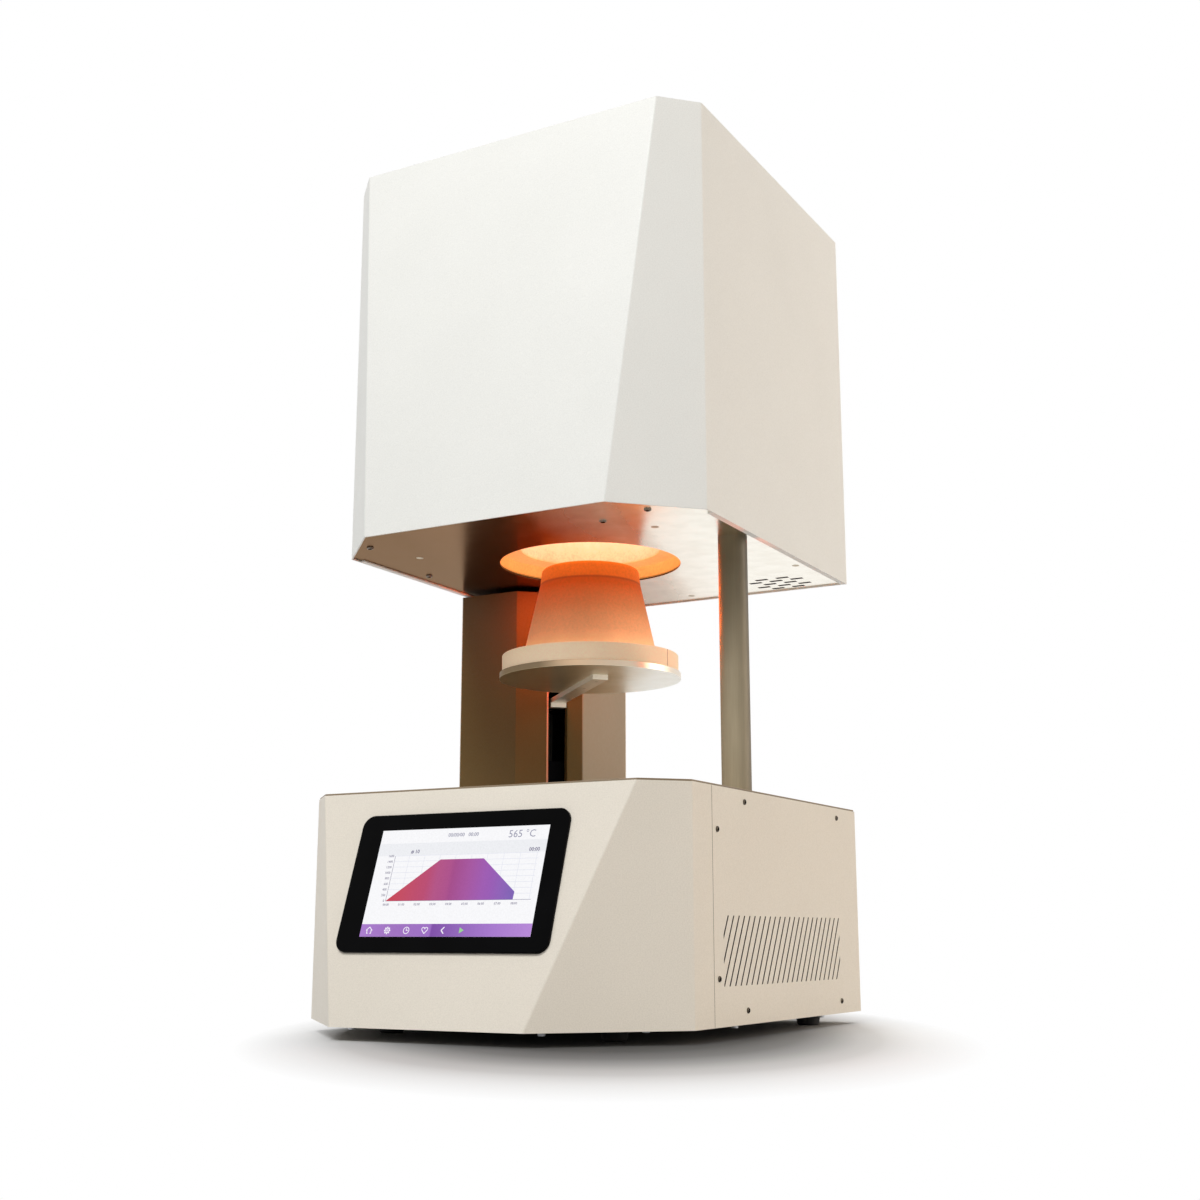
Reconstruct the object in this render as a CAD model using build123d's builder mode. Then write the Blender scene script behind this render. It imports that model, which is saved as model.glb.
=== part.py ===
"""Bench-top dental lab furnace with a heated head and a plug that lifts up into its mouth.

Millimetres, +Z up, the front toward -Y. The origin is on the table, at the centre of the footprint.
"""

from build123d import *

import os
from math import atan2, ceil, cos, degrees, radians, sin, sqrt, tan

os.makedirs("parts", exist_ok=True)

# ---------------------------------------------------------------- cabinet sizes
cabinet_width = 350.0  # base and head alike
foot_height = 10.0
base_height = 179.8  # underside to the top of the deck
working_gap = 214.2  # deck to the underside of the head
head_height = 349.7
base_depth = 432.8  # along the table
base_front_width = 169.6  # flat front between the facets, at the bottom
head_front_width = 230.0
head_front_margin = 49.4  # bottom front edge of the head to the fireproof drum
mouth_side_shift = 12.0  # the mouth's axis is this much further from the rear than from a side
base_lean = 18.4  # degrees that the front leans back
head_lean = 5.2
facet_angle = 45.0
front_return = 32.8  # side return of the base's front panel, from bend to seam

# ---------------------------------------------------------------- sheet and fasteners
cover_sheet = 1.2
bend_radius = 3.0  # outside of a folded edge
deck_sheet = 1.5
pan_sheet = 1.5
plate_sheet = 1.5
flange_height = 16.0
plate_gap = 0.3  # head plate to the covers round it
cut_margin = 5.0  # how far a cutting body runs past what it cuts
screw_radius = 1.5
screw_head_radius = 2.8
screw_head_height = 1.5
screw_clearance = 0.2
screw_hole = screw_radius + screw_clearance
screw_edge = 10.4  # screw rows from the panel's edges
side_screw_front = 60.0
side_screw_rear = 48.0
lap_length = 18.0
lap_overlap = 6.0
lap_screw_setback = 8.7
lap_screw_low = 35.0
lap_screw_high = 34.3
lip_width = 5.5
lip_setback = 12.0

# ---------------------------------------------------------------- levels and datum lines
base_bottom = foot_height
base_top = base_bottom + base_height
deck_underside = base_top - deck_sheet
head_bottom = base_top + working_gap
head_top = head_bottom + head_height
plate_underside = head_bottom + cover_sheet
plate_top = plate_underside + plate_sheet
pan_top = base_bottom + pan_sheet

guard_sheet = 1.5
rear_reach = guard_sheet + screw_head_height  # what stands out of the rear panel
half_width = cabinet_width / 2
front_y = -(base_depth + rear_reach) / 2
rear_y = front_y + base_depth
rear_inner_y = rear_y - cover_sheet
axis_y = rear_y - half_width - mouth_side_shift
seam_y = front_y + half_width - base_front_width / 2 + front_return

# ---------------------------------------------------------------- column and drum, which set the head's depth
column_width = 110.2
column_depth = 133.7
column_chamfer = 47.0
deck_inset = 0.8  # the deck's edge and the column stand inside the covers
drum_side_gap = 41.5  # fireproof drum to the cabinet's side

column_left = -half_width + deck_inset
column_rear = rear_y - deck_inset
column_right = column_left + column_width
column_front = column_rear - column_depth
# The slot faces the mouth along the diagonal: distance from the axis to the slotted face.
slot_distance = (column_front - axis_y - column_right + column_chamfer) / sqrt(2)
insulation_radius = half_width - drum_side_gap
head_front_y = axis_y - insulation_radius - head_front_margin


def lean_face(front, lean, level):
    """Plane of a leaning front: X across, Y up the slope, Z out of the face."""
    outward = (0, -cos(radians(lean)), sin(radians(lean)))
    return Plane(origin=(0, front, level), x_dir=(1, 0, 0), z_dir=outward)


def cabinet_plan(front, front_width, inset):
    """Corners of a cabinet's plan: flat front, two facets, straight sides and rear."""
    half_front = front_width / 2 - inset * tan(radians(facet_angle / 2))
    side = half_width - inset
    near = front + inset
    bend = near + (side - half_front) * tan(radians(facet_angle))
    far = rear_y - inset
    right = [(half_front, near), (side, bend), (side, far)]
    left = [(-side, far), (-side, bend), (-half_front, near)]
    return right + left


def cabinet_block(front, front_width, face, inset, bottom, top):
    """Solid cabinet between two levels with its front bends rounded, its walls moved in by inset."""
    with BuildPart() as block:
        with BuildSketch(Plane.XY.offset(bottom)):
            with BuildLine():
                Polyline(*cabinet_plan(front, front_width, inset), close=True)
            make_face()
        extrude(amount=top - bottom)
        split(bisect_by=face.offset(-inset), keep=Keep.BOTTOM)
        rising = block.edges().filter_by(lambda edge: abs(edge.tangent_at(0.5).Z) > cos(radians(facet_angle)))
        fillet(rising.sort_by(Axis.Y)[:4], bend_radius - inset)
    return block.part


def base_block(inset, bottom, top):
    """Solid base between two levels."""
    return cabinet_block(front_y, base_front_width, base_face, inset, bottom, top)


def head_block(inset, bottom, top):
    """Solid head between two levels."""
    return cabinet_block(head_front_y, head_front_width, head_face, inset, bottom, top)


def screws(face, places, head, shank):
    """Screws on a face: heads on its outer side, shanks into it; negative sizes turn them over."""
    with BuildPart() as group:
        with BuildSketch(face):
            with Locations(*places):
                Circle(screw_head_radius)
        extrude(amount=head)
        with BuildSketch(face):
            with Locations(*places):
                Circle(screw_radius)
        extrude(amount=-shank)
    return group.part


def finish(builder, name):
    """Label a finished piece and write it out."""
    builder.part.label = name
    export_step(builder.part, f"parts/{name}.step")


base_face = lean_face(front_y, base_lean, base_bottom)
head_face = lean_face(head_front_y, head_lean, head_bottom)
right_face = Plane(origin=(half_width, 0, 0), x_dir=(0, 1, 0), z_dir=(1, 0, 0))
rear_face = Plane(origin=(0, rear_y, 0), x_dir=(-1, 0, 0), z_dir=(0, 1, 0))

# ---------------------------------------------------------------- screw places
side_screw_places = [
    (seam_y + lap_screw_setback, base_bottom + lap_screw_low),
    (seam_y + lap_screw_setback, base_top - lap_screw_high),
    (seam_y + side_screw_front, base_top - screw_edge),
    (rear_y - side_screw_rear, base_top - screw_edge),
    (seam_y + side_screw_front, base_bottom + screw_edge),
    (rear_y - side_screw_rear, base_bottom + screw_edge),
]
post_place = (half_width - 23.0, axis_y - 25.0)
pillar_places = [
    (half_width - 44.0, front_y + 97.8),
    (half_width - 12.0, post_place[1] - 37.0),
    (half_width - 12.0, rear_y - 67.0),
]
front_floor_screw = (base_front_width / 2 - 0.8, front_y + 27.8)
foot_places = [(half_width - 73.0, seam_y - 20.2), (half_width - 27.5, rear_y - 59.0)]
plate_screw_places = [
    (39.0 - half_width, head_front_y + 35.9),
    (20.0 - half_width, axis_y - 32.0),
    (half_width - 91.0, head_front_y + 54.9),
    (half_width - 43.0, head_front_y + 40.9),
    (half_width - 15.0, rear_y - 91.0),
    (20.0, rear_y - 19.0),
]
both_sides = (-1, 1)

# ---------------------------------------------------------------- floor pan
pillar_radius = 5.0
standoff_radius = 3.0
standoff_height = 8.0
board_length = 150.0
board_width = 90.0
board_centre = (40.0, front_y + 87.8)
board_hole_inset = 5.0

with BuildPart() as base_floor_pan:
    add(base_block(cover_sheet, base_bottom, base_bottom + flange_height))
    core = base_block(cover_sheet + pan_sheet, pan_top, base_top)
    add(core, mode=Mode.SUBTRACT)
    with BuildSketch(Plane.XY.offset(pan_top)):
        with Locations(board_centre):
            with GridLocations(board_length - 2 * board_hole_inset, board_width - 2 * board_hole_inset, 2, 2):
                Circle(standoff_radius)
    extrude(amount=standoff_height)
    with BuildSketch(Plane.XY.offset(base_bottom)):
        with Locations(*[(side * x, y) for side in both_sides for x, y in pillar_places + [front_floor_screw]]):
            Circle(screw_hole)
    extrude(amount=pan_sheet, mode=Mode.SUBTRACT)
    with BuildSketch(Plane.YZ.offset(-half_width)):
        with Locations(*side_screw_places[4:]):
            Circle(screw_hole)
    extrude(amount=cabinet_width, mode=Mode.SUBTRACT)
finish(base_floor_pan, "base_floor_pan")

# ---------------------------------------------------------------- display sizes
glass_width = 190.0
glass_height = 110.6
glass_radius = 10.0
glass_thickness = 2.6
glass_edge = 0.5
glass_rise = 111.9  # up the slope from the bottom edge to the middle
module_width = 166.0
module_height = 101.0
module_depth = 8.0
module_clearance = 0.4
module_radius = 1.5
frame_border = 8.0
frame_lip = 3.0
frame_back = 1.5

# ---------------------------------------------------------------- front panel of the base
cover_height = deck_underside - base_bottom
cover_middle = (deck_underside + base_bottom) / 2
lap_height = cover_height - 2 * flange_height

with BuildPart() as base_front_panel:
    add(base_block(0, base_bottom, deck_underside))
    core = base_block(cover_sheet, base_bottom - cut_margin, base_top)
    add(core, mode=Mode.SUBTRACT)
    split(bisect_by=Plane.XZ.offset(-seam_y), keep=Keep.TOP)
    for side in both_sides:
        lap_x = side * (half_width - cover_sheet - cover_sheet / 2)
        lap_y = seam_y + (lap_length - lap_overlap) / 2
        with Locations((lap_x, lap_y, cover_middle)):
            Box(cover_sheet, lap_length + lap_overlap, lap_height)
    with BuildSketch(Plane.YZ.offset(-half_width)):
        with Locations(*side_screw_places[:2]):
            Circle(screw_hole)
    extrude(amount=cabinet_width, mode=Mode.SUBTRACT)
    with BuildSketch(base_face):
        with Locations((0, glass_rise)):
            Rectangle(module_width + 2 * module_clearance, module_height + 2 * module_clearance)
    extrude(amount=-cut_margin, mode=Mode.SUBTRACT)
finish(base_front_panel, "base_front_panel")

# ---------------------------------------------------------------- side panels with slanted grilles
grille_start = 17.4  # seam to the front end of the grille
grille_end = 47.3  # rear end of the grille to the rear panel
grille_height = 52.3
grille_bottom = 29.2
grille_pitch = 10.165
grille_slot_width = 2.0
grille_lean = 29.3  # degrees off the vertical, tops toward the rear
grille_first = 9.1  # front end of the grille to the top of the first slot

grille_length = rear_inner_y - seam_y - grille_start - grille_end
grille_middle = (seam_y + grille_start + grille_length / 2, base_bottom + grille_bottom + grille_height / 2)
slot_shift = grille_height / 2 * tan(radians(grille_lean))
grille_slots = int(grille_length / grille_pitch) + ceil(2 * slot_shift / grille_pitch)
slot_run = (grille_slots - 1) * grille_pitch
slot_middle = grille_first - grille_length / 2 - slot_shift + slot_run / 2

with BuildPart() as side_panel_right:
    with BuildSketch(right_face):
        with Locations(((seam_y + rear_inner_y) / 2, cover_middle)):
            Rectangle(rear_inner_y - seam_y, cover_height)
        with Locations(*side_screw_places):
            Circle(screw_hole, mode=Mode.SUBTRACT)
    extrude(amount=-cover_sheet)
    with BuildSketch(right_face):
        with Locations((grille_middle[0] + slot_middle, grille_middle[1])):
            with GridLocations(grille_pitch, 0, grille_slots, 1):
                Rectangle(grille_slot_width, 2 * grille_height, rotation=-grille_lean)
        with Locations(grille_middle):
            Rectangle(grille_length, grille_height, mode=Mode.INTERSECT)
    extrude(amount=-cover_sheet, mode=Mode.SUBTRACT)
finish(side_panel_right, "side_panel_right")

with BuildPart() as side_panel_left:
    mirror(side_panel_right.part, about=Plane.YZ)
finish(side_panel_left, "side_panel_left")

# ---------------------------------------------------------------- rear panel of the base
fan_size = 80.0
fan_depth = 25.0
fan_bore = 38.0
fan_x = half_width - 75.0
fan_z = base_bottom + 92.0
fan_hole_spacing = 71.5
inlet_x = -20.0
inlet_z = base_bottom + 60.0
inlet_body_width = 32.0
inlet_body_height = 25.0
inlet_ear_spacing = 44.0
switch_x = 30.0
switch_z = inlet_z
switch_body_width = 21.0
switch_body_height = 27.0
cutout_gap = 0.3  # panel to the bodies of the inlet and the switch

with BuildPart() as base_rear_panel:
    with BuildSketch(rear_face):
        with Locations((0, cover_middle)):
            Rectangle(cabinet_width, cover_height)
        with Locations((-fan_x, fan_z)):
            Circle(fan_bore, mode=Mode.SUBTRACT)
            with GridLocations(fan_hole_spacing, fan_hole_spacing, 2, 2):
                Circle(screw_hole, mode=Mode.SUBTRACT)
        with Locations((-inlet_x, inlet_z)):
            Rectangle(
                inlet_body_width + 2 * cutout_gap,
                inlet_body_height + 2 * cutout_gap,
                mode=Mode.SUBTRACT,
            )
            with GridLocations(inlet_ear_spacing, 0, 2, 1):
                Circle(screw_hole, mode=Mode.SUBTRACT)
        with Locations((-switch_x, switch_z)):
            Rectangle(
                switch_body_width + 2 * cutout_gap,
                switch_body_height + 2 * cutout_gap,
                mode=Mode.SUBTRACT,
            )
    extrude(amount=-cover_sheet)
finish(base_rear_panel, "base_rear_panel")

# ---------------------------------------------------------------- lift geometry
column_sheet = 1.5
column_gap = 2.0  # shadow line between the column's covers and the head
slot_width = 18.8
slot_sill = 15.0
slot_flange = 10.0

column_top = head_bottom - column_gap


def lift_level(height):
    """Level plane on the mouth's axis: X runs along the lift arm to the column, Y across it."""
    return Plane(origin=(0, axis_y, height), x_dir=(-1, 1, 0), z_dir=(0, 0, 1))


backbone_reach = slot_distance + 60.0  # front of the backbone's web
backbone_width = 90.0
backbone_web = 10.0
backbone_wing = 8.0
backbone_depth = 18.0
rail_width = 15.0
rail_depth = 9.5
rail_hole_pitch = 40.0
rail_hole_radius = 3.0
rail_hole_depth = 4.5
block_height = 50.2  # lower bearing block, above the deck
block_width = 68.0
block_offset = -12.0
nose_front = slot_distance + 12.0  # the block's nose stands close behind the slot
nose_width = 44.0
block_front = slot_distance + 26.0
screw_reach = slot_distance + 40.0
screw_offset = -34.0
thread_radius = 6.0
journal_radius = 5.0
running_gap = 0.05
shelf_level = plate_top + 31.3
shelf_height = 12.0
post_radius = 12.3
post_clearance = 0.2

# ---------------------------------------------------------------- top deck
deck_screw_hole = 8.0

with BuildPart() as base_top_deck:
    add(base_block(deck_inset, deck_underside, base_top))
    add(base_block(cover_sheet, deck_underside - flange_height, deck_underside))
    core = base_block(cover_sheet + deck_sheet, base_bottom, deck_underside)
    add(core, mode=Mode.SUBTRACT)
    with BuildSketch(Plane.XY.offset(deck_underside)):
        with Locations(post_place):
            Circle(post_radius + post_clearance)
    extrude(amount=deck_sheet, mode=Mode.SUBTRACT)
    with BuildSketch(lift_level(deck_underside)):
        with Locations((screw_reach, screw_offset)):
            Circle(deck_screw_hole)
    extrude(amount=deck_sheet, mode=Mode.SUBTRACT)
    with BuildSketch(Plane.YZ.offset(-half_width)):
        with Locations(*side_screw_places[2:4]):
            Circle(screw_hole)
    extrude(amount=cabinet_width, mode=Mode.SUBTRACT)
finish(base_top_deck, "base_top_deck")

# ---------------------------------------------------------------- pillars between pan and deck
with BuildPart() as deck_pillars:
    with BuildSketch(Plane.XY.offset(pan_top)):
        with Locations(*[(side * x, y) for side in both_sides for x, y in pillar_places]):
            RegularPolygon(pillar_radius, 6)
    extrude(amount=deck_underside - pan_top)
finish(deck_pillars, "deck_pillars")

# ---------------------------------------------------------------- rubber feet
foot_radius = 11.0
foot_taper = 1.5
foot_edge = 1.0

with BuildPart() as rubber_feet:
    with Locations(*[(side * x, y, foot_height / 2) for side in both_sides for x, y in foot_places]):
        Cone(foot_radius - foot_taper, foot_radius, foot_height)
    chamfer(rubber_feet.edges().group_by(Axis.Z)[0], foot_edge)
finish(rubber_feet, "rubber_feet")

# ---------------------------------------------------------------- floor screws
floor_screw_head = 3.0

with BuildPart() as floor_screws:
    places = [(side * x, y) for side in both_sides for x, y in pillar_places + [front_floor_screw]]
    add(screws(Plane.XY.offset(base_bottom), places, -floor_screw_head, -pan_sheet))
finish(floor_screws, "floor_screws")

# ---------------------------------------------------------------- touch display
display_back = module_depth + cover_sheet

with BuildPart() as display_glass:
    with BuildSketch(base_face):
        with Locations((0, glass_rise)):
            RectangleRounded(glass_width, glass_height, glass_radius)
    extrude(amount=glass_thickness)
    front_rim = display_glass.faces().sort_by(Axis((0, front_y, base_bottom), base_face.z_dir))[-1]
    chamfer(front_rim.edges(), glass_edge)
finish(display_glass, "display_glass")

with BuildPart() as display_module:
    with BuildSketch(base_face):
        with Locations((0, glass_rise)):
            RectangleRounded(module_width, module_height, module_radius)
    extrude(amount=-module_depth)
finish(display_module, "display_module")

with BuildPart() as display_frame:
    with BuildSketch(base_face.offset(-cover_sheet)):
        with Locations((0, glass_rise)):
            Rectangle(module_width + 2 * frame_border, module_height + 2 * frame_border)
            Rectangle(
                module_width + 2 * module_clearance,
                module_height + 2 * module_clearance,
                mode=Mode.SUBTRACT,
            )
    extrude(amount=cover_sheet - module_depth)
    with BuildSketch(base_face.offset(-module_depth)):
        with Locations((0, glass_rise)):
            Rectangle(module_width + 2 * frame_border, module_height + 2 * frame_border)
            Rectangle(module_width - 2 * frame_lip, module_height - 2 * frame_lip, mode=Mode.SUBTRACT)
    extrude(amount=-frame_back)
finish(display_frame, "display_frame")

# ---------------------------------------------------------------- control board
board_thickness = 1.6
board_level = pan_top + standoff_height
board_edge_part = 10.0
terminal_length = 60.0
terminal_height = 12.0
chip_size = 18.0
chip_height = 2.5
capacitor_radius = 6.0
capacitor_height = 18.0
capacitor_pitch = 16.0
capacitor_count = 3
relay_length = 20.0
relay_width = 15.0
relay_height = 15.0

with BuildPart() as control_board:
    with BuildSketch(Plane.XY.offset(board_level)):
        with Locations(board_centre):
            Rectangle(board_length, board_width)
    extrude(amount=board_thickness)
    board_face = Plane(origin=(*board_centre, board_level + board_thickness))
    with BuildSketch(board_face):
        with Locations((0, board_width / 2 - board_edge_part), (0, board_edge_part - board_width / 2)):
            Rectangle(terminal_length, board_edge_part)
    extrude(amount=terminal_height)
    with BuildSketch(board_face):
        Rectangle(chip_size, chip_size)
    extrude(amount=chip_height)
    with BuildSketch(board_face):
        with Locations((board_length / 4, 0)):
            with GridLocations(0, capacitor_pitch, 1, capacitor_count):
                Circle(capacitor_radius)
    extrude(amount=capacitor_height)
    with BuildSketch(board_face):
        with Locations((-board_length / 3, 0)):
            with GridLocations(0, capacitor_pitch + board_edge_part, 1, 2):
                Rectangle(relay_length, relay_width)
    extrude(amount=relay_height)
finish(control_board, "control_board")

# ---------------------------------------------------------------- power supply
sink_depth = 54.0
sink_place = (half_width - 77.0, rear_y - 75.0)
supply_width = 98.0
supply_height = 40.0
supply_front_gap = 12.0  # to the control board
supply_rear_gap = 28.0  # to the heat sink
supply_front = board_centre[1] + board_width / 2 + supply_front_gap
supply_rear = sink_place[1] - sink_depth / 2 - supply_rear_gap
supply_length = supply_rear - supply_front
supply_place = (half_width - 80.0, (supply_front + supply_rear) / 2)
supply_terminals = 14.0
supply_terminal_height = 18.0

with BuildPart() as power_supply:
    with BuildSketch(Plane.XY.offset(pan_top)):
        with Locations(supply_place):
            Rectangle(supply_width, supply_length)
    extrude(amount=supply_height)
    with BuildSketch(Plane.XY.offset(pan_top + supply_terminal_height)):
        with Locations((supply_place[0], supply_front + supply_terminals / 2)):
            Rectangle(supply_width, supply_terminals)
    extrude(amount=supply_height - supply_terminal_height, mode=Mode.SUBTRACT)
finish(power_supply, "power_supply")

# ---------------------------------------------------------------- transformer
core_width = 120.0
core_height = 100.0
core_stack = 50.0
core_limb = 20.0
core_place = (80.0 - half_width, axis_y - 40.0)
winding_swell = 18.0
winding_gap = 1.0

core_window_width = (core_width - 4 * core_limb) / 2
core_window_height = core_height - 2 * core_limb
core_face = Plane(
    origin=(core_place[0], core_place[1] - core_stack / 2, pan_top + core_height / 2),
    x_dir=(1, 0, 0),
    z_dir=(0, -1, 0),
)

with BuildPart() as transformer_core:
    with BuildSketch(core_face):
        Rectangle(core_width, core_height)
        with GridLocations(2 * core_limb + core_window_width, 0, 2, 1):
            Rectangle(core_window_width, core_window_height, mode=Mode.SUBTRACT)
    extrude(amount=-core_stack)
finish(transformer_core, "transformer_core")

with BuildPart() as transformer_windings:
    with BuildSketch(Plane.XY.offset(pan_top + core_limb + winding_gap)):
        with Locations(core_place):
            RectangleRounded(
                2 * core_limb + 2 * core_window_width - 2 * winding_gap,
                core_stack + 2 * winding_swell,
                winding_swell / 2,
            )
            Rectangle(2 * core_limb, core_stack, mode=Mode.SUBTRACT)
    extrude(amount=core_window_height - 2 * winding_gap)
finish(transformer_windings, "transformer_windings")

# ---------------------------------------------------------------- heat sink and power controller
sink_width = 96.0
sink_height = 48.0
sink_floor = 8.0
sink_fins = 9
sink_fin = 3.0
controller_width = 45.0
controller_length = 58.0
controller_height = 23.0

with BuildPart() as heat_sink:
    with BuildSketch(Plane.XY.offset(pan_top)):
        with Locations(sink_place):
            Rectangle(sink_width, sink_depth)
    extrude(amount=sink_height)
    with BuildSketch(Plane.XY.offset(pan_top)):
        fin_pitch = (sink_width - sink_fin) / (sink_fins - 1)
        with Locations(sink_place):
            with GridLocations(fin_pitch, 0, sink_fins - 1, 1):
                Rectangle(fin_pitch - sink_fin, sink_depth)
    extrude(amount=sink_height - sink_floor, mode=Mode.SUBTRACT)
finish(heat_sink, "heat_sink")

with BuildPart() as power_controller:
    with BuildSketch(Plane.XY.offset(pan_top + sink_height)):
        with Locations(sink_place):
            Rectangle(controller_length, controller_width)
    extrude(amount=controller_height)
    terminals = power_controller.faces().sort_by(Axis.Z)[-1].edges().filter_by(Axis.Y)
    chamfer(terminals, controller_height / 4)
finish(power_controller, "power_controller")

# ---------------------------------------------------------------- cooling fan
hub_plate = 4.0
hub_radius = 15.0
strut_width = 5.0
shaft_radius = 2.0
shaft_clearance = 0.05
rotor_gap = 1.2
rotor_radius = 36.0
rotor_hub_radius = 14.0
blade_count = 7
blade_thickness = 1.6
blade_root_angle = 50.0
blade_tip_angle = 28.0
blade_root_chord = 13.0
blade_tip_chord = 17.0
fan_corner = 5.0

fan_face = Plane(origin=(fan_x, rear_inner_y, fan_z), x_dir=(-1, 0, 0), z_dir=(0, 1, 0))
rotor_depth = fan_depth - hub_plate - 2 * rotor_gap

with BuildPart() as fan_housing:
    with BuildSketch(fan_face):
        RectangleRounded(fan_size, fan_size, fan_corner)
        Circle(fan_bore, mode=Mode.SUBTRACT)
        with GridLocations(fan_hole_spacing, fan_hole_spacing, 2, 2):
            Circle(screw_hole, mode=Mode.SUBTRACT)
    extrude(amount=-fan_depth)
    with BuildSketch(fan_face.offset(-fan_depth)):
        Circle(hub_radius)
        with PolarLocations(fan_size / 4, 4, start_angle=facet_angle):
            Rectangle(fan_size / 2, strut_width)
        Circle(shaft_radius + shaft_clearance, mode=Mode.SUBTRACT)
    extrude(amount=hub_plate)
finish(fan_housing, "fan_housing")

fan_axis = Axis(fan_face.origin, fan_face.z_dir)
blade_middle = rear_inner_y - rotor_gap - rotor_depth / 2

with BuildPart() as fan_blade:
    for radius, chord, angle in [
        (rotor_hub_radius - 2 * blade_thickness, blade_root_chord, blade_root_angle),
        (rotor_radius, blade_tip_chord, blade_tip_angle),
    ]:
        blade_foot = (fan_x + radius, blade_middle, fan_z)
        with BuildSketch(Plane(origin=blade_foot, x_dir=(0, 0, 1), z_dir=(1, 0, 0))):
            Rectangle(chord, blade_thickness, rotation=angle)
    loft(ruled=True)

with BuildPart() as fan_rotor:
    with BuildSketch(fan_face.offset(-rotor_gap)):
        Circle(rotor_hub_radius)
    extrude(amount=-rotor_depth)
    with BuildSketch(fan_face.offset(-rotor_gap - rotor_depth)):
        Circle(shaft_radius)
    extrude(amount=-hub_plate - rotor_gap)
    for blade in range(blade_count):
        add(fan_blade.part.rotate(fan_axis, blade * 360 / blade_count))
finish(fan_rotor, "fan_rotor")

guard_rings = 4
guard_bar = 1.8
guard_pitch = 9.5
guard_hub = 9.0
guard_lug = 4.5

with BuildPart() as fan_guard:
    guard_face = fan_face.offset(cover_sheet)
    with BuildSketch(guard_face):
        for ring in range(guard_rings, 0, -1):
            Circle(ring * guard_pitch + guard_bar / 2)
            Circle(ring * guard_pitch - guard_bar / 2, mode=Mode.SUBTRACT)
        Circle(guard_hub)
        with PolarLocations(fan_hole_spacing / sqrt(8), 4, start_angle=facet_angle):
            Rectangle(fan_hole_spacing / sqrt(2), guard_bar)
        with GridLocations(fan_hole_spacing, fan_hole_spacing, 2, 2):
            Circle(guard_lug)
        with GridLocations(fan_hole_spacing, fan_hole_spacing, 2, 2):
            Circle(screw_hole, mode=Mode.SUBTRACT)
    extrude(amount=guard_sheet)
finish(fan_guard, "fan_guard")

# ---------------------------------------------------------------- mains inlet
inlet_flange_width = 54.0
inlet_flange_height = 30.0
inlet_flange = 1.5
inlet_flange_radius = 4.0
inlet_depth = 30.0
socket_width = 27.0
socket_height = 19.0
socket_depth = 21.0
socket_corner = 4.0
pin_width = 2.2
pin_height = 7.0
pin_length = 14.0
pin_spacing = 8.0
pin_drop = 3.5
pin_tail = 8.0

with BuildPart() as mains_inlet:
    with BuildSketch(rear_face):
        with Locations((-inlet_x, inlet_z)):
            RectangleRounded(inlet_flange_width, inlet_flange_height, inlet_flange_radius)
            with GridLocations(inlet_ear_spacing, 0, 2, 1):
                Circle(screw_hole, mode=Mode.SUBTRACT)
    extrude(amount=inlet_flange)
    with BuildSketch(rear_face):
        with Locations((-inlet_x, inlet_z)):
            Rectangle(inlet_body_width, inlet_body_height)
    extrude(amount=-inlet_depth)
    with BuildSketch(rear_face.offset(inlet_flange)):
        with Locations((-inlet_x, inlet_z)):
            Rectangle(socket_width, socket_height)
            chamfer(vertices().group_by(Axis.Y)[-1], socket_corner)
    extrude(amount=-socket_depth - inlet_flange, mode=Mode.SUBTRACT)
    with BuildSketch(rear_face.offset(-socket_depth)):
        with Locations((-inlet_x, inlet_z)):
            with Locations((-pin_spacing, -pin_drop / 2), (pin_spacing, -pin_drop / 2), (0, pin_drop / 2)):
                Rectangle(pin_width, pin_height)
    extrude(amount=socket_depth - inlet_depth, mode=Mode.SUBTRACT)
finish(mains_inlet, "mains_inlet")

with BuildPart() as inlet_pins:
    with BuildSketch(rear_face.offset(pin_length - socket_depth)):
        with Locations((-inlet_x, inlet_z)):
            with Locations((-pin_spacing, -pin_drop / 2), (pin_spacing, -pin_drop / 2), (0, pin_drop / 2)):
                Rectangle(pin_width, pin_height)
    extrude(amount=socket_depth - pin_length - inlet_depth - pin_tail)
finish(inlet_pins, "inlet_pins")

# ---------------------------------------------------------------- rocker switch
switch_flange_width = 26.0
switch_flange_height = 32.0
switch_flange = 2.0
switch_flange_radius = 2.0
switch_depth = 24.0
well_width = 15.0
well_height = 22.0
well_depth = 13.0
rocker_gap = 0.4
rocker_swing = 16.0  # degrees from one side to the other
rocker_pivot_depth = 5.5
rocker_pivot_radius = 1.5
rocker_half_height = 9.4
rocker_rise = 7.0
rocker_dish = 1.4
rocker_edge = 1.5
rocker_back = 4.0
pivot_clearance = 0.05
rocker_half_width = well_width / 2 - rocker_gap
pivot_seat = 1.5  # pin end in the wall of the well
pivot_end = well_width / 2 + pivot_seat
pivot_bore = pivot_end + rocker_gap
rocker_axis = Plane(origin=(switch_x, rear_y - rocker_pivot_depth, switch_z), x_dir=(0, 1, 0), z_dir=(1, 0, 0))

with BuildPart() as switch_body:
    with BuildSketch(rear_face):
        with Locations((-switch_x, switch_z)):
            RectangleRounded(switch_flange_width, switch_flange_height, switch_flange_radius)
    extrude(amount=switch_flange)
    with BuildSketch(rear_face):
        with Locations((-switch_x, switch_z)):
            Rectangle(switch_body_width, switch_body_height)
    extrude(amount=-switch_depth)
    with BuildSketch(rear_face.offset(switch_flange)):
        with Locations((-switch_x, switch_z)):
            Rectangle(well_width, well_height)
    extrude(amount=-well_depth - switch_flange, mode=Mode.SUBTRACT)
    with BuildSketch(rocker_axis):
        Circle(rocker_pivot_radius + pivot_clearance)
    extrude(amount=pivot_bore, both=True, mode=Mode.SUBTRACT)
finish(switch_body, "switch_body")

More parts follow.
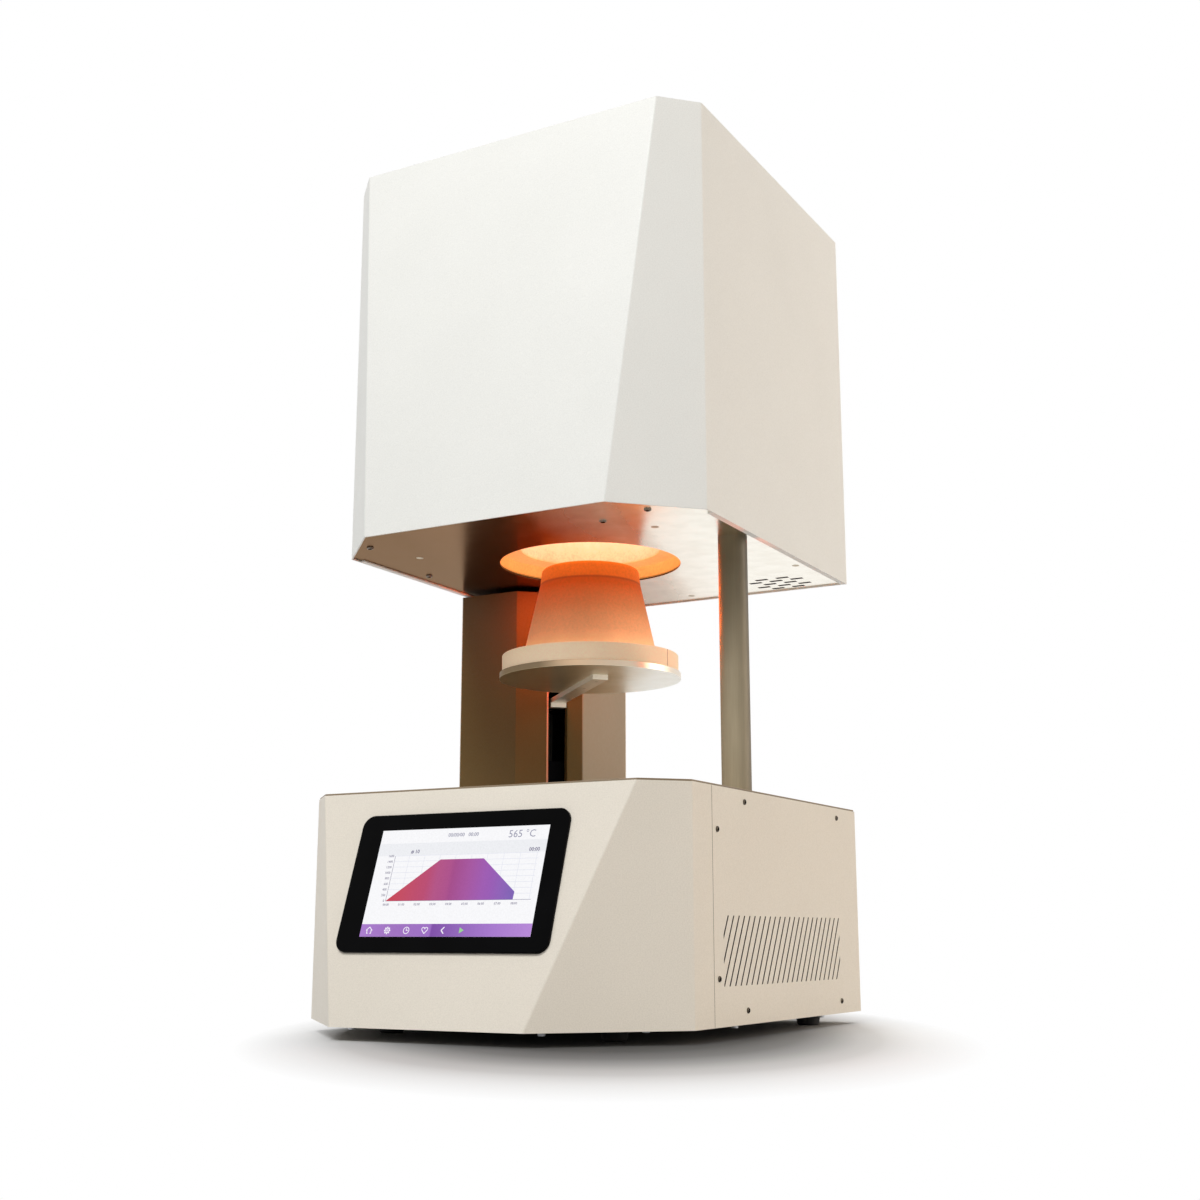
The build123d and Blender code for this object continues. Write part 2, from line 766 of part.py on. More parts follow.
rocker_tilt = radians(rocker_swing / 2)
rocker_profile = Plane(
    origin=rocker_axis.origin,
    x_dir=(0, cos(rocker_tilt), -sin(rocker_tilt)),
    z_dir=(1, 0, 0),
)

with BuildPart() as switch_rocker:
    with BuildSketch(rocker_profile):
        with BuildLine():
            low = (rocker_rise, -rocker_half_height)
            high = (rocker_rise, rocker_half_height)
            Polyline((0, -rocker_back), (rocker_rise - rocker_edge, -rocker_half_height), low)
            ThreePointArc(low, (rocker_rise - rocker_dish, 0), high)
            Polyline(high, (rocker_rise - rocker_edge, rocker_half_height), (0, rocker_back))
            ThreePointArc((0, rocker_back), (-rocker_back, 0), (0, -rocker_back))
        make_face()
    extrude(amount=rocker_half_width, both=True)
    with BuildSketch(rocker_axis):
        Circle(rocker_pivot_radius)
    extrude(amount=pivot_end, both=True)
finish(switch_rocker, "switch_rocker")

# ---------------------------------------------------------------- column covers
column_plan = [
    (column_left, column_front),
    (column_right - column_chamfer, column_front),
    (column_right, column_front + column_chamfer),
    (column_right, column_rear),
    (column_left, column_rear),
]
slot_face = Plane(
    origin=(-slot_distance / sqrt(2), axis_y + slot_distance / sqrt(2), base_top),
    x_dir=(1, 1, 0),
    z_dir=(1, -1, 0),
)

with BuildPart() as column_cover:
    with BuildSketch(Plane.XY.offset(base_top)):
        with BuildLine():
            Polyline(*column_plan, close=True)
        make_face()
        offset(amount=-column_sheet, kind=Kind.INTERSECTION, mode=Mode.SUBTRACT)
        with Locations((column_left, column_front + column_sheet)):
            Rectangle(column_sheet, column_depth, align=(Align.MIN, Align.MIN), mode=Mode.SUBTRACT)
        with Locations((column_right - column_sheet, column_rear)):
            Rectangle(column_width, column_sheet, align=(Align.MAX, Align.MAX), mode=Mode.SUBTRACT)
    extrude(amount=column_top - base_top)
    with BuildSketch(slot_face):
        with Locations((0, slot_sill + (column_top - base_top) / 2)):
            Rectangle(slot_width, column_top - base_top)
    extrude(amount=-cut_margin, mode=Mode.SUBTRACT)
    with BuildSketch(lift_level(base_top + slot_sill)):
        with Locations((slot_distance + slot_flange / 2, 0)):
            with GridLocations(0, slot_width + column_sheet, 1, 2):
                Rectangle(slot_flange, column_sheet)
    extrude(amount=column_top - base_top - slot_sill)
finish(column_cover, "column_cover")

with BuildPart() as column_back_panel:
    with BuildSketch(Plane.XY.offset(base_top)):
        with BuildLine():
            Polyline(
                (column_left, column_front + column_sheet),
                (column_left, column_rear),
                (column_right - column_sheet, column_rear),
                (column_right - column_sheet, column_rear - column_sheet),
                (column_left + column_sheet, column_rear - column_sheet),
                (column_left + column_sheet, column_front + column_sheet),
                close=True,
            )
        make_face()
    extrude(amount=column_top - base_top)
finish(column_back_panel, "column_back_panel")

# ---------------------------------------------------------------- column backbone and rail
with BuildPart() as column_backbone:
    with BuildSketch(lift_level(base_top)):
        with Locations((backbone_reach + backbone_depth / 2, 0)):
            Rectangle(backbone_depth, backbone_width)
        with Locations((backbone_reach + (backbone_web + backbone_depth) / 2, 0)):
            Rectangle(backbone_depth - backbone_web, backbone_width - 2 * backbone_wing, mode=Mode.SUBTRACT)
    extrude(amount=plate_underside - base_top)
finish(column_backbone, "column_backbone")

block_top = base_top + block_height
rail_length = shelf_level - block_top
rail_face = Plane(
    origin=(-(backbone_reach - rail_depth) / sqrt(2), axis_y + (backbone_reach - rail_depth) / sqrt(2), block_top),
    x_dir=(1, 1, 0),
    z_dir=(1, -1, 0),
)

with BuildPart() as guide_rail:
    with BuildSketch(lift_level(block_top)):
        with Locations((backbone_reach - rail_depth / 2, 0)):
            Rectangle(rail_depth, rail_width)
    extrude(amount=rail_length)
    with BuildSketch(rail_face):
        with Locations((0, rail_length / 2)):
            with GridLocations(0, rail_hole_pitch, 1, int(rail_length / rail_hole_pitch)):
                Circle(rail_hole_radius)
    extrude(amount=-rail_hole_depth, mode=Mode.SUBTRACT)
finish(guide_rail, "guide_rail")

with BuildPart() as lower_bearing_block:
    with BuildSketch(lift_level(base_top)):
        with Locations(((block_front + backbone_reach) / 2, block_offset)):
            Rectangle(backbone_reach - block_front, block_width)
        with Locations(((nose_front + block_front) / 2, 0)):
            Rectangle(block_front - nose_front, nose_width)
        with Locations((screw_reach, screw_offset)):
            Circle(thread_radius + running_gap, mode=Mode.SUBTRACT)
    extrude(amount=block_height)
finish(lower_bearing_block, "lower_bearing_block")

shelf_front = slot_distance + 27.0
bracket_web = 10.0

with BuildPart() as upper_bearing_block:
    with BuildSketch(lift_level(shelf_level)):
        with Locations(((shelf_front + backbone_reach + bracket_web) / 2, block_offset)):
            Rectangle(backbone_reach + bracket_web - shelf_front, block_width)
        with Locations((screw_reach, screw_offset)):
            Circle(journal_radius + running_gap, mode=Mode.SUBTRACT)
    extrude(amount=shelf_height)
    with BuildSketch(lift_level(plate_top)):
        with Locations((backbone_reach + bracket_web / 2, block_offset)):
            Rectangle(bracket_web, block_width)
    extrude(amount=shelf_level - plate_top)
finish(upper_bearing_block, "upper_bearing_block")

# ---------------------------------------------------------------- lift drive
motor_size = 56.4
motor_length = 76.0
motor_corner = 5.0
motor_pilot_radius = 19.0
motor_pilot = 1.6
motor_shaft_radius = 3.15
motor_shaft_depth = 20.0
mount_plate = 5.0
mount_size = 66.0
mount_leg = 8.0
motor_drop = 48.0  # deck to the motor's front face
motor_face = deck_underside - motor_drop
coupling_radius = 10.0
coupling_length = 30.0
shaft_length = 20.0
screw_foot_drop = 24.0
screw_foot = deck_underside - screw_foot_drop
screw_top = shelf_level + shelf_height
journal_gap = 0.5  # screw's shoulder below the upper bearing
journal_length = shelf_height + journal_gap
coupling_gap = 6.0
coupling_foot = motor_face + motor_pilot + coupling_gap
shaft_end_gap = 1.0

with BuildPart() as lift_motor:
    with BuildSketch(lift_level(motor_face)):
        with Locations((screw_reach, screw_offset)):
            RectangleRounded(motor_size, motor_size, motor_corner)
    extrude(amount=-motor_length)
    with BuildSketch(lift_level(motor_face)):
        with Locations((screw_reach, screw_offset)):
            Circle(motor_pilot_radius)
    extrude(amount=motor_pilot)
    with BuildSketch(lift_level(motor_face + motor_pilot)):
        with Locations((screw_reach, screw_offset)):
            Circle(motor_shaft_radius + running_gap)
    extrude(amount=-motor_pilot - motor_shaft_depth, mode=Mode.SUBTRACT)
finish(lift_motor, "lift_motor")

with BuildPart() as motor_mount:
    with BuildSketch(lift_level(motor_face)):
        with Locations((screw_reach, screw_offset)):
            Rectangle(mount_size, mount_size)
            Circle(motor_pilot_radius + screw_clearance, mode=Mode.SUBTRACT)
    extrude(amount=mount_plate)
    with BuildSketch(lift_level(motor_face + mount_plate)):
        with Locations((screw_reach, screw_offset)):
            with GridLocations(mount_size - mount_leg, mount_size - mount_leg, 2, 2):
                Rectangle(mount_leg, mount_leg)
    extrude(amount=deck_underside - motor_face - mount_plate)
finish(motor_mount, "motor_mount")

with BuildPart() as motor_shaft:
    with BuildSketch(lift_level(motor_face + motor_pilot + shaft_length)):
        with Locations((screw_reach, screw_offset)):
            Circle(motor_shaft_radius)
    extrude(amount=shaft_end_gap - shaft_length - motor_pilot - motor_shaft_depth)
finish(motor_shaft, "motor_shaft")

with BuildPart() as shaft_coupling:
    with BuildSketch(lift_level(coupling_foot)):
        with Locations((screw_reach, screw_offset)):
            Circle(coupling_radius)
            Circle(motor_shaft_radius + running_gap, mode=Mode.SUBTRACT)
    extrude(amount=coupling_length)
    with BuildSketch(lift_level(screw_foot)):
        with Locations((screw_reach, screw_offset)):
            Circle(thread_radius + running_gap)
    extrude(amount=coupling_length, mode=Mode.SUBTRACT)
finish(shaft_coupling, "shaft_coupling")

with BuildPart() as lead_screw:
    with BuildSketch(lift_level(screw_foot)):
        with Locations((screw_reach, screw_offset)):
            Circle(thread_radius)
    extrude(amount=screw_top - journal_length - screw_foot)
    with BuildSketch(lift_level(screw_top - journal_length)):
        with Locations((screw_reach, screw_offset)):
            Circle(journal_radius)
    extrude(amount=journal_length)
finish(lead_screw, "lead_screw")

# ---------------------------------------------------------------- round openings of the head
drum_wall = 55.5
chamber_radius = insulation_radius - drum_wall
throat_radius = chamber_radius - 14.7
ring_radius = throat_radius + 19.5
mouth_radius = ring_radius - 1.2  # the head plate's edge hides the end of the ring

# ---------------------------------------------------------------- plug and lift sizes
plug_gap = 289.0  # underside of the base to the plug plate, with the plug as in use
plug_plate_radius = mouth_radius - 0.8
plug_plate_sheet = 5.0
disc_radius = ring_radius - 4.2
disc_height = 16.0
cone_foot_radius = throat_radius - 3.6
cone_top_radius = cone_foot_radius - 14.5
cone_height = 64.5
cap_top_radius = cone_top_radius - 1.8
cap_height = 14.5
cap_round = 4.0
arm_sheet = 4.5
arm_width = 13.8
arm_overreach = 33.0  # past the axis of the mouth
arm_end_gap = 0.2
lug_width = 12.8
lug_sheet = 3.5
arm_screw_head = 2.0
arm_screw_pitch = 12.0
arm_screw_reach = slot_distance + 20.0

plate_level = base_bottom + plug_gap  # underside of the plug plate at rest
arm_level = plate_level - arm_sheet
lug_level = arm_level - lug_sheet
disc_level = plate_level + plug_plate_sheet
cone_level = disc_level + disc_height
cap_level = cone_level + cone_height
plug_top = cap_level + cap_height

carriage_width = 32.0
carriage_height = 42.0
carriage_stand = 3.5
carriage_depth = 16.0
carriage_front = backbone_reach - carriage_depth
carriage_plate_sheet = 8.0
carriage_plate_side = 18.0
nut_block_depth = 24.0
nut_block_width = 24.0
nut_radius = 9.0
nut_flange_radius = 11.5
nut_flange = 4.0
plate_front = carriage_front - carriage_plate_sheet

# ---------------------------------------------------------------- rail carriage
with BuildPart() as rail_carriage:
    with BuildSketch(lift_level(lug_level)):
        with Locations((carriage_front + (carriage_depth - carriage_stand) / 2, 0)):
            Rectangle(carriage_depth - carriage_stand, carriage_width)
        with Locations((backbone_reach - rail_depth / 2, 0)):
            Rectangle(rail_depth + 2 * running_gap, rail_width + 2 * running_gap, mode=Mode.SUBTRACT)
    extrude(amount=carriage_height)
finish(rail_carriage, "rail_carriage")

with BuildPart() as carriage_plate:
    with BuildSketch(lift_level(lug_level)):
        plate_far = screw_offset - nut_block_width / 2
        with Locations((plate_front + carriage_plate_sheet / 2, (carriage_plate_side + plate_far) / 2)):
            Rectangle(carriage_plate_sheet, carriage_plate_side - plate_far)
        with Locations((screw_reach, screw_offset)):
            Rectangle(nut_block_depth, nut_block_width)
            Circle(nut_radius + running_gap, mode=Mode.SUBTRACT)
    extrude(amount=carriage_height)
    with BuildSketch(lift_level(lug_level)):
        with Locations(((slot_distance + plate_front) / 2, 0)):
            Rectangle(plate_front - slot_distance, lug_width)
        with Locations((arm_screw_reach, 0)):
            with GridLocations(arm_screw_pitch, 0, 2, 1):
                Circle(screw_hole, mode=Mode.SUBTRACT)
    extrude(amount=lug_sheet)
finish(carriage_plate, "carriage_plate")

with BuildPart() as screw_nut:
    with BuildSketch(lift_level(lug_level)):
        with Locations((screw_reach, screw_offset)):
            Circle(nut_radius)
    extrude(amount=carriage_height)
    with BuildSketch(lift_level(lug_level + carriage_height)):
        with Locations((screw_reach, screw_offset)):
            Circle(nut_flange_radius)
    extrude(amount=nut_flange)
    with BuildSketch(lift_level(lug_level)):
        with Locations((screw_reach, screw_offset)):
            Circle(thread_radius + running_gap)
    extrude(amount=carriage_height + nut_flange, mode=Mode.SUBTRACT)
finish(screw_nut, "screw_nut")

# ---------------------------------------------------------------- lift arm
arm_length = arm_overreach + plate_front - arm_end_gap
plate_screw_pitch = 40.0
countersink_height = 2.5
countersink_radius = 4.0

with BuildPart() as lift_arm:
    with BuildSketch(lift_level(arm_level)):
        with Locations((arm_length / 2 - arm_overreach, 0)):
            Rectangle(arm_length, arm_width)
        with Locations((arm_screw_reach, 0)):
            with GridLocations(arm_screw_pitch, 0, 2, 1):
                Circle(screw_hole, mode=Mode.SUBTRACT)
        with GridLocations(plate_screw_pitch, 0, 2, 1):
            Circle(screw_hole, mode=Mode.SUBTRACT)
    extrude(amount=arm_sheet)
finish(lift_arm, "lift_arm")

with BuildPart() as arm_screws:
    lug_screws = [(arm_screw_reach + side * arm_screw_pitch / 2, 0) for side in both_sides]
    add(screws(lift_level(plate_level), lug_screws, arm_screw_head, arm_sheet + lug_sheet))
    for side in both_sides:
        with Locations(lift_level(disc_level - countersink_height / 2)):
            with Locations((side * plate_screw_pitch / 2, 0, 0)):
                Cone(screw_radius, countersink_radius, countersink_height)
        with BuildSketch(lift_level(disc_level - countersink_height)):
            with Locations((side * plate_screw_pitch / 2, 0)):
                Circle(screw_radius)
        extrude(amount=countersink_height - plug_plate_sheet - arm_sheet)
finish(arm_screws, "arm_screws")

# ---------------------------------------------------------------- plug
plug_edge = 0.6

with BuildPart() as plug_plate:
    with BuildSketch(lift_level(plate_level)):
        Circle(plug_plate_radius)
        with GridLocations(plate_screw_pitch, 0, 2, 1):
            Circle(screw_hole, mode=Mode.SUBTRACT)
    extrude(amount=plug_plate_sheet)
    with Locations(lift_level(disc_level - countersink_height / 2)):
        with GridLocations(plate_screw_pitch, 0, 2, 1):
            Cone(screw_radius, countersink_radius, countersink_height, mode=Mode.SUBTRACT)
finish(plug_plate, "plug_plate")

with BuildPart() as plug_disc:
    with BuildSketch(lift_level(disc_level)):
        Circle(disc_radius)
    extrude(amount=disc_height)
    chamfer(plug_disc.edges(), plug_edge)
finish(plug_disc, "plug_disc")

with BuildPart() as plug_cone:
    with Locations(lift_level(cone_level + cone_height / 2)):
        Cone(cone_foot_radius, cone_top_radius, cone_height)
finish(plug_cone, "plug_cone")

with BuildPart() as plug_cap:
    with Locations(lift_level(cap_level + cap_height / 2)):
        Cone(cone_top_radius, cap_top_radius, cap_height)
    fillet(plug_cap.edges().group_by(Axis.Z)[-1], cap_round)
finish(plug_cap, "plug_cap")

# ---------------------------------------------------------------- support post
post_wall = 2.0
post_flange_radius = 17.0
post_flange_height = 8.0

with BuildPart() as post_tube:
    with BuildSketch(Plane.XY.offset(deck_underside - post_flange_height)):
        with Locations(post_place):
            Circle(post_radius)
            Circle(post_radius - post_wall, mode=Mode.SUBTRACT)
    extrude(amount=plate_top - deck_underside + 2 * post_flange_height)
finish(post_tube, "post_tube")

with BuildPart() as post_flanges:
    for level in (deck_underside - post_flange_height, plate_top):
        with BuildSketch(Plane.XY.offset(level)):
            with Locations(post_place):
                Circle(post_flange_radius)
                Circle(post_radius + running_gap, mode=Mode.SUBTRACT)
        extrude(amount=post_flange_height)
finish(post_flanges, "post_flanges")

# ---------------------------------------------------------------- head bottom plate
well_front = slot_distance + 27.0
lift_well_width = 70.0
lift_well_offset = -14.0
vent_length = 10.0
vent_width = 2.0
vent_pitch = 20.8
vent_row_pitch = 10.2
vent_rows = 5
vent_middle = (half_width - 55.4, rear_y - 30.6)

with BuildPart() as head_bottom_plate:
    add(head_block(cover_sheet + plate_gap, plate_underside, plate_top))
    with BuildSketch(lift_level(plate_underside)):
        Circle(mouth_radius)
        with Locations(((well_front + backbone_reach) / 2, lift_well_offset)):
            Rectangle(backbone_reach - well_front, lift_well_width)
    extrude(amount=plate_sheet, mode=Mode.SUBTRACT)
    with BuildSketch(Plane.XY.offset(plate_underside)):
        with Locations(post_place):
            Circle(post_radius + post_clearance)
        with Locations(*plate_screw_places):
            Circle(screw_hole)
        for row in range(vent_rows):
            row_y = vent_middle[1] + (row - (vent_rows - 1) / 2) * vent_row_pitch
            with Locations((vent_middle[0], row_y)):
                with GridLocations(vent_pitch, 0, 2 + row % 2, 1):
                    Rectangle(vent_length, vent_width)
    extrude(amount=plate_sheet, mode=Mode.SUBTRACT)
finish(head_bottom_plate, "head_bottom_plate")

# ---------------------------------------------------------------- head covers
with BuildPart() as head_wrap:
    add(head_block(0, head_bottom, head_top))
    core = head_block(cover_sheet, head_bottom - cut_margin, head_top + cut_margin)
    add(core, mode=Mode.SUBTRACT)
    split(bisect_by=Plane.XZ.offset(-rear_inner_y), keep=Keep.TOP)
    with BuildSketch(Plane.XY.offset(head_bottom)):
        bend_y = head_front_y + half_width - head_front_width / 2
        for side in both_sides:
            with Locations((side * (half_width - lip_width / 2), (bend_y + lip_setback + rear_inner_y) / 2)):
                Rectangle(lip_width, rear_inner_y - bend_y - lip_setback)
    extrude(amount=cover_sheet)
finish(head_wrap, "head_wrap")

head_vent_count = 9
head_vent_pitch = 18.0
head_vent_width = 5.0
head_vent_height = 40.0
head_vent_drop = 60.0

with BuildPart() as head_rear_panel:
    with BuildSketch(rear_face):
        with Locations((0, (head_bottom + head_top) / 2)):
            Rectangle(cabinet_width, head_height)
        with Locations((0, head_top - head_vent_drop)):
            with GridLocations(head_vent_pitch, 0, head_vent_count, 1):
                SlotOverall(head_vent_height, head_vent_width, rotation=90, mode=Mode.SUBTRACT)
    extrude(amount=-cover_sheet)
finish(head_rear_panel, "head_rear_panel")

with BuildPart() as head_top_panel:
    add(head_block(cover_sheet, head_top - cover_sheet, head_top))
finish(head_top_panel, "head_top_panel")

# ---------------------------------------------------------------- fasteners of the covers
inlet_ears = [(-inlet_x + side * inlet_ear_spacing / 2, inlet_z) for side in both_sides]
guard_corners = [
    (-fan_x + across * fan_hole_spacing / 2, fan_z + up * fan_hole_spacing / 2)
    for across in both_sides
    for up in both_sides
]
fan_screw_length = guard_sheet + cover_sheet + fan_depth

with BuildPart() as cover_screws:
    add(screws(right_face, side_screw_places, screw_head_height, cover_sheet + pan_sheet))
    mirror(about=Plane.YZ)
    add(screws(Plane.XY.offset(plate_underside), plate_screw_places, -screw_head_height, -plate_sheet))
    add(screws(rear_face.offset(guard_sheet), guard_corners, screw_head_height, fan_screw_length))
    add(screws(rear_face.offset(inlet_flange), inlet_ears, screw_head_height, inlet_flange + cover_sheet))
finish(cover_screws, "cover_screws")

# ---------------------------------------------------------------- insulation and chamber
jacket_gap = 0.2
jacket_sheet = 1.0
joint_height = 1.6  # open joint between the head plate and the fireproof throat
joint_depth = 6.0
ceiling_rise = 14.6  # underside of the head to the ring that the plug's disc closes on
throat_height = 27.0
chamber_height = 140.0
roof_height = 60.0

ceiling_level = head_bottom + ceiling_rise
chamber_floor = ceiling_level + throat_height
roof_level = chamber_floor + chamber_height
roof_top = roof_level + roof_height

with BuildPart() as throat_block:
    with BuildSketch(lift_level(plate_top)):
        Circle(insulation_radius)
        Circle(ring_radius + joint_depth, mode=Mode.SUBTRACT)
    extrude(amount=joint_height)
    with BuildSketch(lift_level(plate_top + joint_height)):
        Circle(insulation_radius)
        Circle(ring_radius, mode=Mode.SUBTRACT)
    extrude(amount=ceiling_level - plate_top - joint_height)
    with BuildSketch(lift_level(ceiling_level)):
        Circle(insulation_radius)
        Circle(throat_radius, mode=Mode.SUBTRACT)
    extrude(amount=throat_height)
finish(throat_block, "throat_block")

with BuildPart() as chamber_wall:
    with BuildSketch(lift_level(chamber_floor)):
        Circle(insulation_radius)
        Circle(chamber_radius, mode=Mode.SUBTRACT)
    extrude(amount=chamber_height)
finish(chamber_wall, "chamber_wall")

# ---------------------------------------------------------------- heating elements
element_count = 4
element_turn = 45.0  # first element, degrees from the lift arm
element_circle = chamber_radius - 14.0
element_spread = 15.0  # half the distance between the two legs
element_radius = 3.0
terminal_radius = 5.5
terminal_clearance = 0.3
element_drop = 126.0  # roof to the bottom of the bend
terminal_lead = 10.0  # terminal below the roof
terminal_rise = 44.0  # terminal above the roof's top
thermocouple_radius = 4.0
thermocouple_drop = 26.0

leg_radius = sqrt(element_circle**2 + element_spread**2)
bend_level = roof_level - element_drop + element_spread + element_radius
leg_places = [(element_circle, side * element_spread) for side in both_sides]

with BuildPart() as chamber_roof:
    with BuildSketch(lift_level(roof_level)):
        Circle(insulation_radius)
        Circle(thermocouple_radius + terminal_clearance, mode=Mode.SUBTRACT)
        with PolarLocations(0, element_count, start_angle=element_turn):
            with Locations(*leg_places):
                Circle(terminal_radius + terminal_clearance, mode=Mode.SUBTRACT)
    extrude(amount=roof_height)
finish(chamber_roof, "chamber_roof")

with BuildPart() as insulation_jacket:
    with BuildSketch(lift_level(plate_top)):
        Circle(insulation_radius + jacket_gap + jacket_sheet)
        Circle(insulation_radius + jacket_gap, mode=Mode.SUBTRACT)
    extrude(amount=roof_top - plate_top)
finish(insulation_jacket, "insulation_jacket")

element_face = Plane(origin=(element_circle, 0, bend_level), x_dir=(0, 1, 0), z_dir=(1, 0, 0))

with BuildPart() as element:
    with BuildLine(element_face) as element_path:
        leg_top = roof_level - terminal_lead - bend_level
        Line((-element_spread, leg_top), (-element_spread, 0))
        ThreePointArc((-element_spread, 0), (0, -element_spread), (element_spread, 0))
        Line((element_spread, 0), (element_spread, leg_top))
    with BuildSketch(Plane(origin=element_path.line @ 0, z_dir=(0, 0, -1))):
        Circle(element_radius)
    sweep()
    with BuildSketch(Plane.XY.offset(roof_level - terminal_lead)):
        with Locations(*leg_places):
            Circle(terminal_radius)
    extrude(amount=terminal_lead + roof_height + terminal_rise)

with BuildPart() as heating_elements:
    with Locations(lift_level(0)):
        with PolarLocations(0, element_count, start_angle=element_turn):
            add(element.part)
finish(heating_elements, "heating_elements")

holder_length = 54.0
holder_width = 22.0
holder_height = 10.0

with BuildPart() as element_holders:
    with BuildSketch(lift_level(roof_top)):
        with PolarLocations(0, element_count, start_angle=element_turn):
            with Locations((element_circle, 0)):
                Rectangle(holder_width, holder_length)
            with Locations(*leg_places):
                Circle(terminal_radius + running_gap, mode=Mode.SUBTRACT)
    extrude(amount=holder_height)
finish(element_holders, "element_holders")

# ---------------------------------------------------------------- connection straps
strap_width = 17.0
strap_sheet = 3.0
strap_rise = 26.0
leg_angle = degrees(atan2(element_spread, element_circle))
gap_angle = 360 / element_count - 2 * leg_angle
strap_length = 2 * leg_radius * sin(radians(gap_angle / 2))
strap_circle = leg_radius * cos(radians(gap_angle / 2))
feed_gap = 20.0  # the chain of straps is open here, for the two feed cables

with BuildPart() as connection_straps:
    with BuildSketch(lift_level(roof_top + strap_rise)):
        with PolarLocations(0, element_count, start_angle=element_turn + 180 / element_count):
            with Locations((strap_circle, 0)):
                SlotCenterToCenter(strap_length, strap_width, rotation=90)
        with PolarLocations(0, 1, start_angle=element_turn + 180 / element_count):
            with Locations((strap_circle, 0)):
                Rectangle(2 * strap_width, feed_gap, mode=Mode.SUBTRACT)
        with PolarLocations(0, element_count, start_angle=element_turn):
            with Locations(*leg_places):
                Circle(terminal_radius + running_gap, mode=Mode.SUBTRACT)
    extrude(amount=strap_sheet)
finish(connection_straps, "connection_straps")

# ---------------------------------------------------------------- thermocouple
head_flange_radius = 12.0
head_flange = 4.0
thermo_neck = 16.0
thermo_head_radius = 14.0
thermo_head = 22.0

with BuildPart() as thermocouple:
    with BuildSketch(lift_level(roof_level - thermocouple_drop)):
        Circle(thermocouple_radius)
    extrude(amount=thermocouple_drop + roof_height + head_flange + thermo_neck)
    with BuildSketch(lift_level(roof_top)):
        Circle(head_flange_radius)
    extrude(amount=head_flange)
    with BuildSketch(lift_level(roof_top + head_flange + thermo_neck)):
        Circle(thermo_head_radius)
    extrude(amount=thermo_head)
finish(thermocouple, "thermocouple")
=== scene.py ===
# %% [markdown]
# # A dental lab furnace
# The furnace stands on a bench. Its base holds a touch display, its heated head opens downward, and
# a small lift raises a fireproof plug into the mouth of the head. The shapes come from a imported CAD
# model, so Blender's work here is finishes, small fittings, the picture on the display and light.
# The first cell loads that model, and a helper gives the box of any of its parts.

from math import cos, pi, radians, sin, sqrt

import bmesh
import bpy
from mathutils import Matrix, Vector


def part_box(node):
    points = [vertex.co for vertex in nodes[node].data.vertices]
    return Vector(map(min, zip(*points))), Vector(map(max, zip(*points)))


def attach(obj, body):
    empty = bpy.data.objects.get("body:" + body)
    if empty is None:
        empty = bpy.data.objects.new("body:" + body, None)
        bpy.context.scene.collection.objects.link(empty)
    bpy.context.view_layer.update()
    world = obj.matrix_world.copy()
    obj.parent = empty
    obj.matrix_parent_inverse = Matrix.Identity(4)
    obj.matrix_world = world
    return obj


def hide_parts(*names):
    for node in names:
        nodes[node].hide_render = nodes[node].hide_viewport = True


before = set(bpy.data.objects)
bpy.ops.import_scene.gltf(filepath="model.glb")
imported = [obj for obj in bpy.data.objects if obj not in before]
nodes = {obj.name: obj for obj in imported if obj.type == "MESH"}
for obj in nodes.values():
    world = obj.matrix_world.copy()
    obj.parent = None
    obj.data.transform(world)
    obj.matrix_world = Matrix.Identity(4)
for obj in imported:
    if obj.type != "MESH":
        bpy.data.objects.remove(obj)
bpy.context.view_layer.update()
print("nodes loaded:", len(nodes))

# %% [markdown]
# ## The camera
# The photograph looks up at the furnace from low on its right, with a lens a little longer than
# normal. The camera is made first, because every finish is judged through it. Its place and turn
# were found by matching corners of the covers with the photograph.

# %% Camera
CAMERA_PLACE = (0.6823, -1.1785, 0.0776)
CAMERA_AZIMUTH = radians(29.132)
CAMERA_PITCH = radians(11.992)
FOCAL_LENGTH = 47.2
SENSOR_WIDTH = 36.0


def put(name, data):
    """Object for a mesh, a lamp or a camera, linked to the scene."""
    thing = bpy.data.objects.new(name, data)
    bpy.context.scene.collection.objects.link(thing)
    return thing


lens = bpy.data.cameras.new("photo_lens")
lens.lens = FOCAL_LENGTH
lens.sensor_width = SENSOR_WIDTH
camera = put("photo_camera", lens)
camera.location = CAMERA_PLACE
camera.rotation_euler = (pi / 2 + CAMERA_PITCH, 0, CAMERA_AZIMUTH)
bpy.context.scene.camera = camera
print("camera at", CAMERA_PLACE)

# %% [markdown]
# ## Colours and finishes
# Every finish is a small node tree on a Principled shader. Colours are written as they look on a
# screen, from 0 to 1, and turned into the linear values that Blender calculates with. One helper
# makes the shader, and another gives the finish to pieces of the CAD model.


# %% Helpers for colours and finishes
def linear(*display):
    """Display colour, 0 to 1, as linear red, green, blue and a full alpha."""
    channels = [c / 12.92 if c <= 0.04045 else ((c + 0.055) / 1.055) ** 2.4 for c in display]
    return (*channels, 1.0)


def gray(level):
    """Neutral display colour."""
    return (level, level, level)


def shades(color, step):
    """A colour one step darker and one step lighter."""
    return tuple(max(0.0, c - step) for c in color), tuple(min(1.0, c + step) for c in color)


def finish(name, color, roughness, metallic=0.0):
    """New material with a Principled shader, returned with its tree and its shader."""
    material = bpy.data.materials.new(name)
    material.use_nodes = True
    tree = material.node_tree
    shader = tree.nodes["Principled BSDF"]
    shader.inputs["Base Color"].default_value = linear(*color)
    shader.inputs["Roughness"].default_value = roughness
    shader.inputs["Metallic"].default_value = metallic
    return material, tree, shader


def wear(material, *names):
    """Give CAD pieces one finish."""
    for name in names:
        mesh = nodes[name].data
        mesh.materials.clear()
        mesh.materials.append(material)


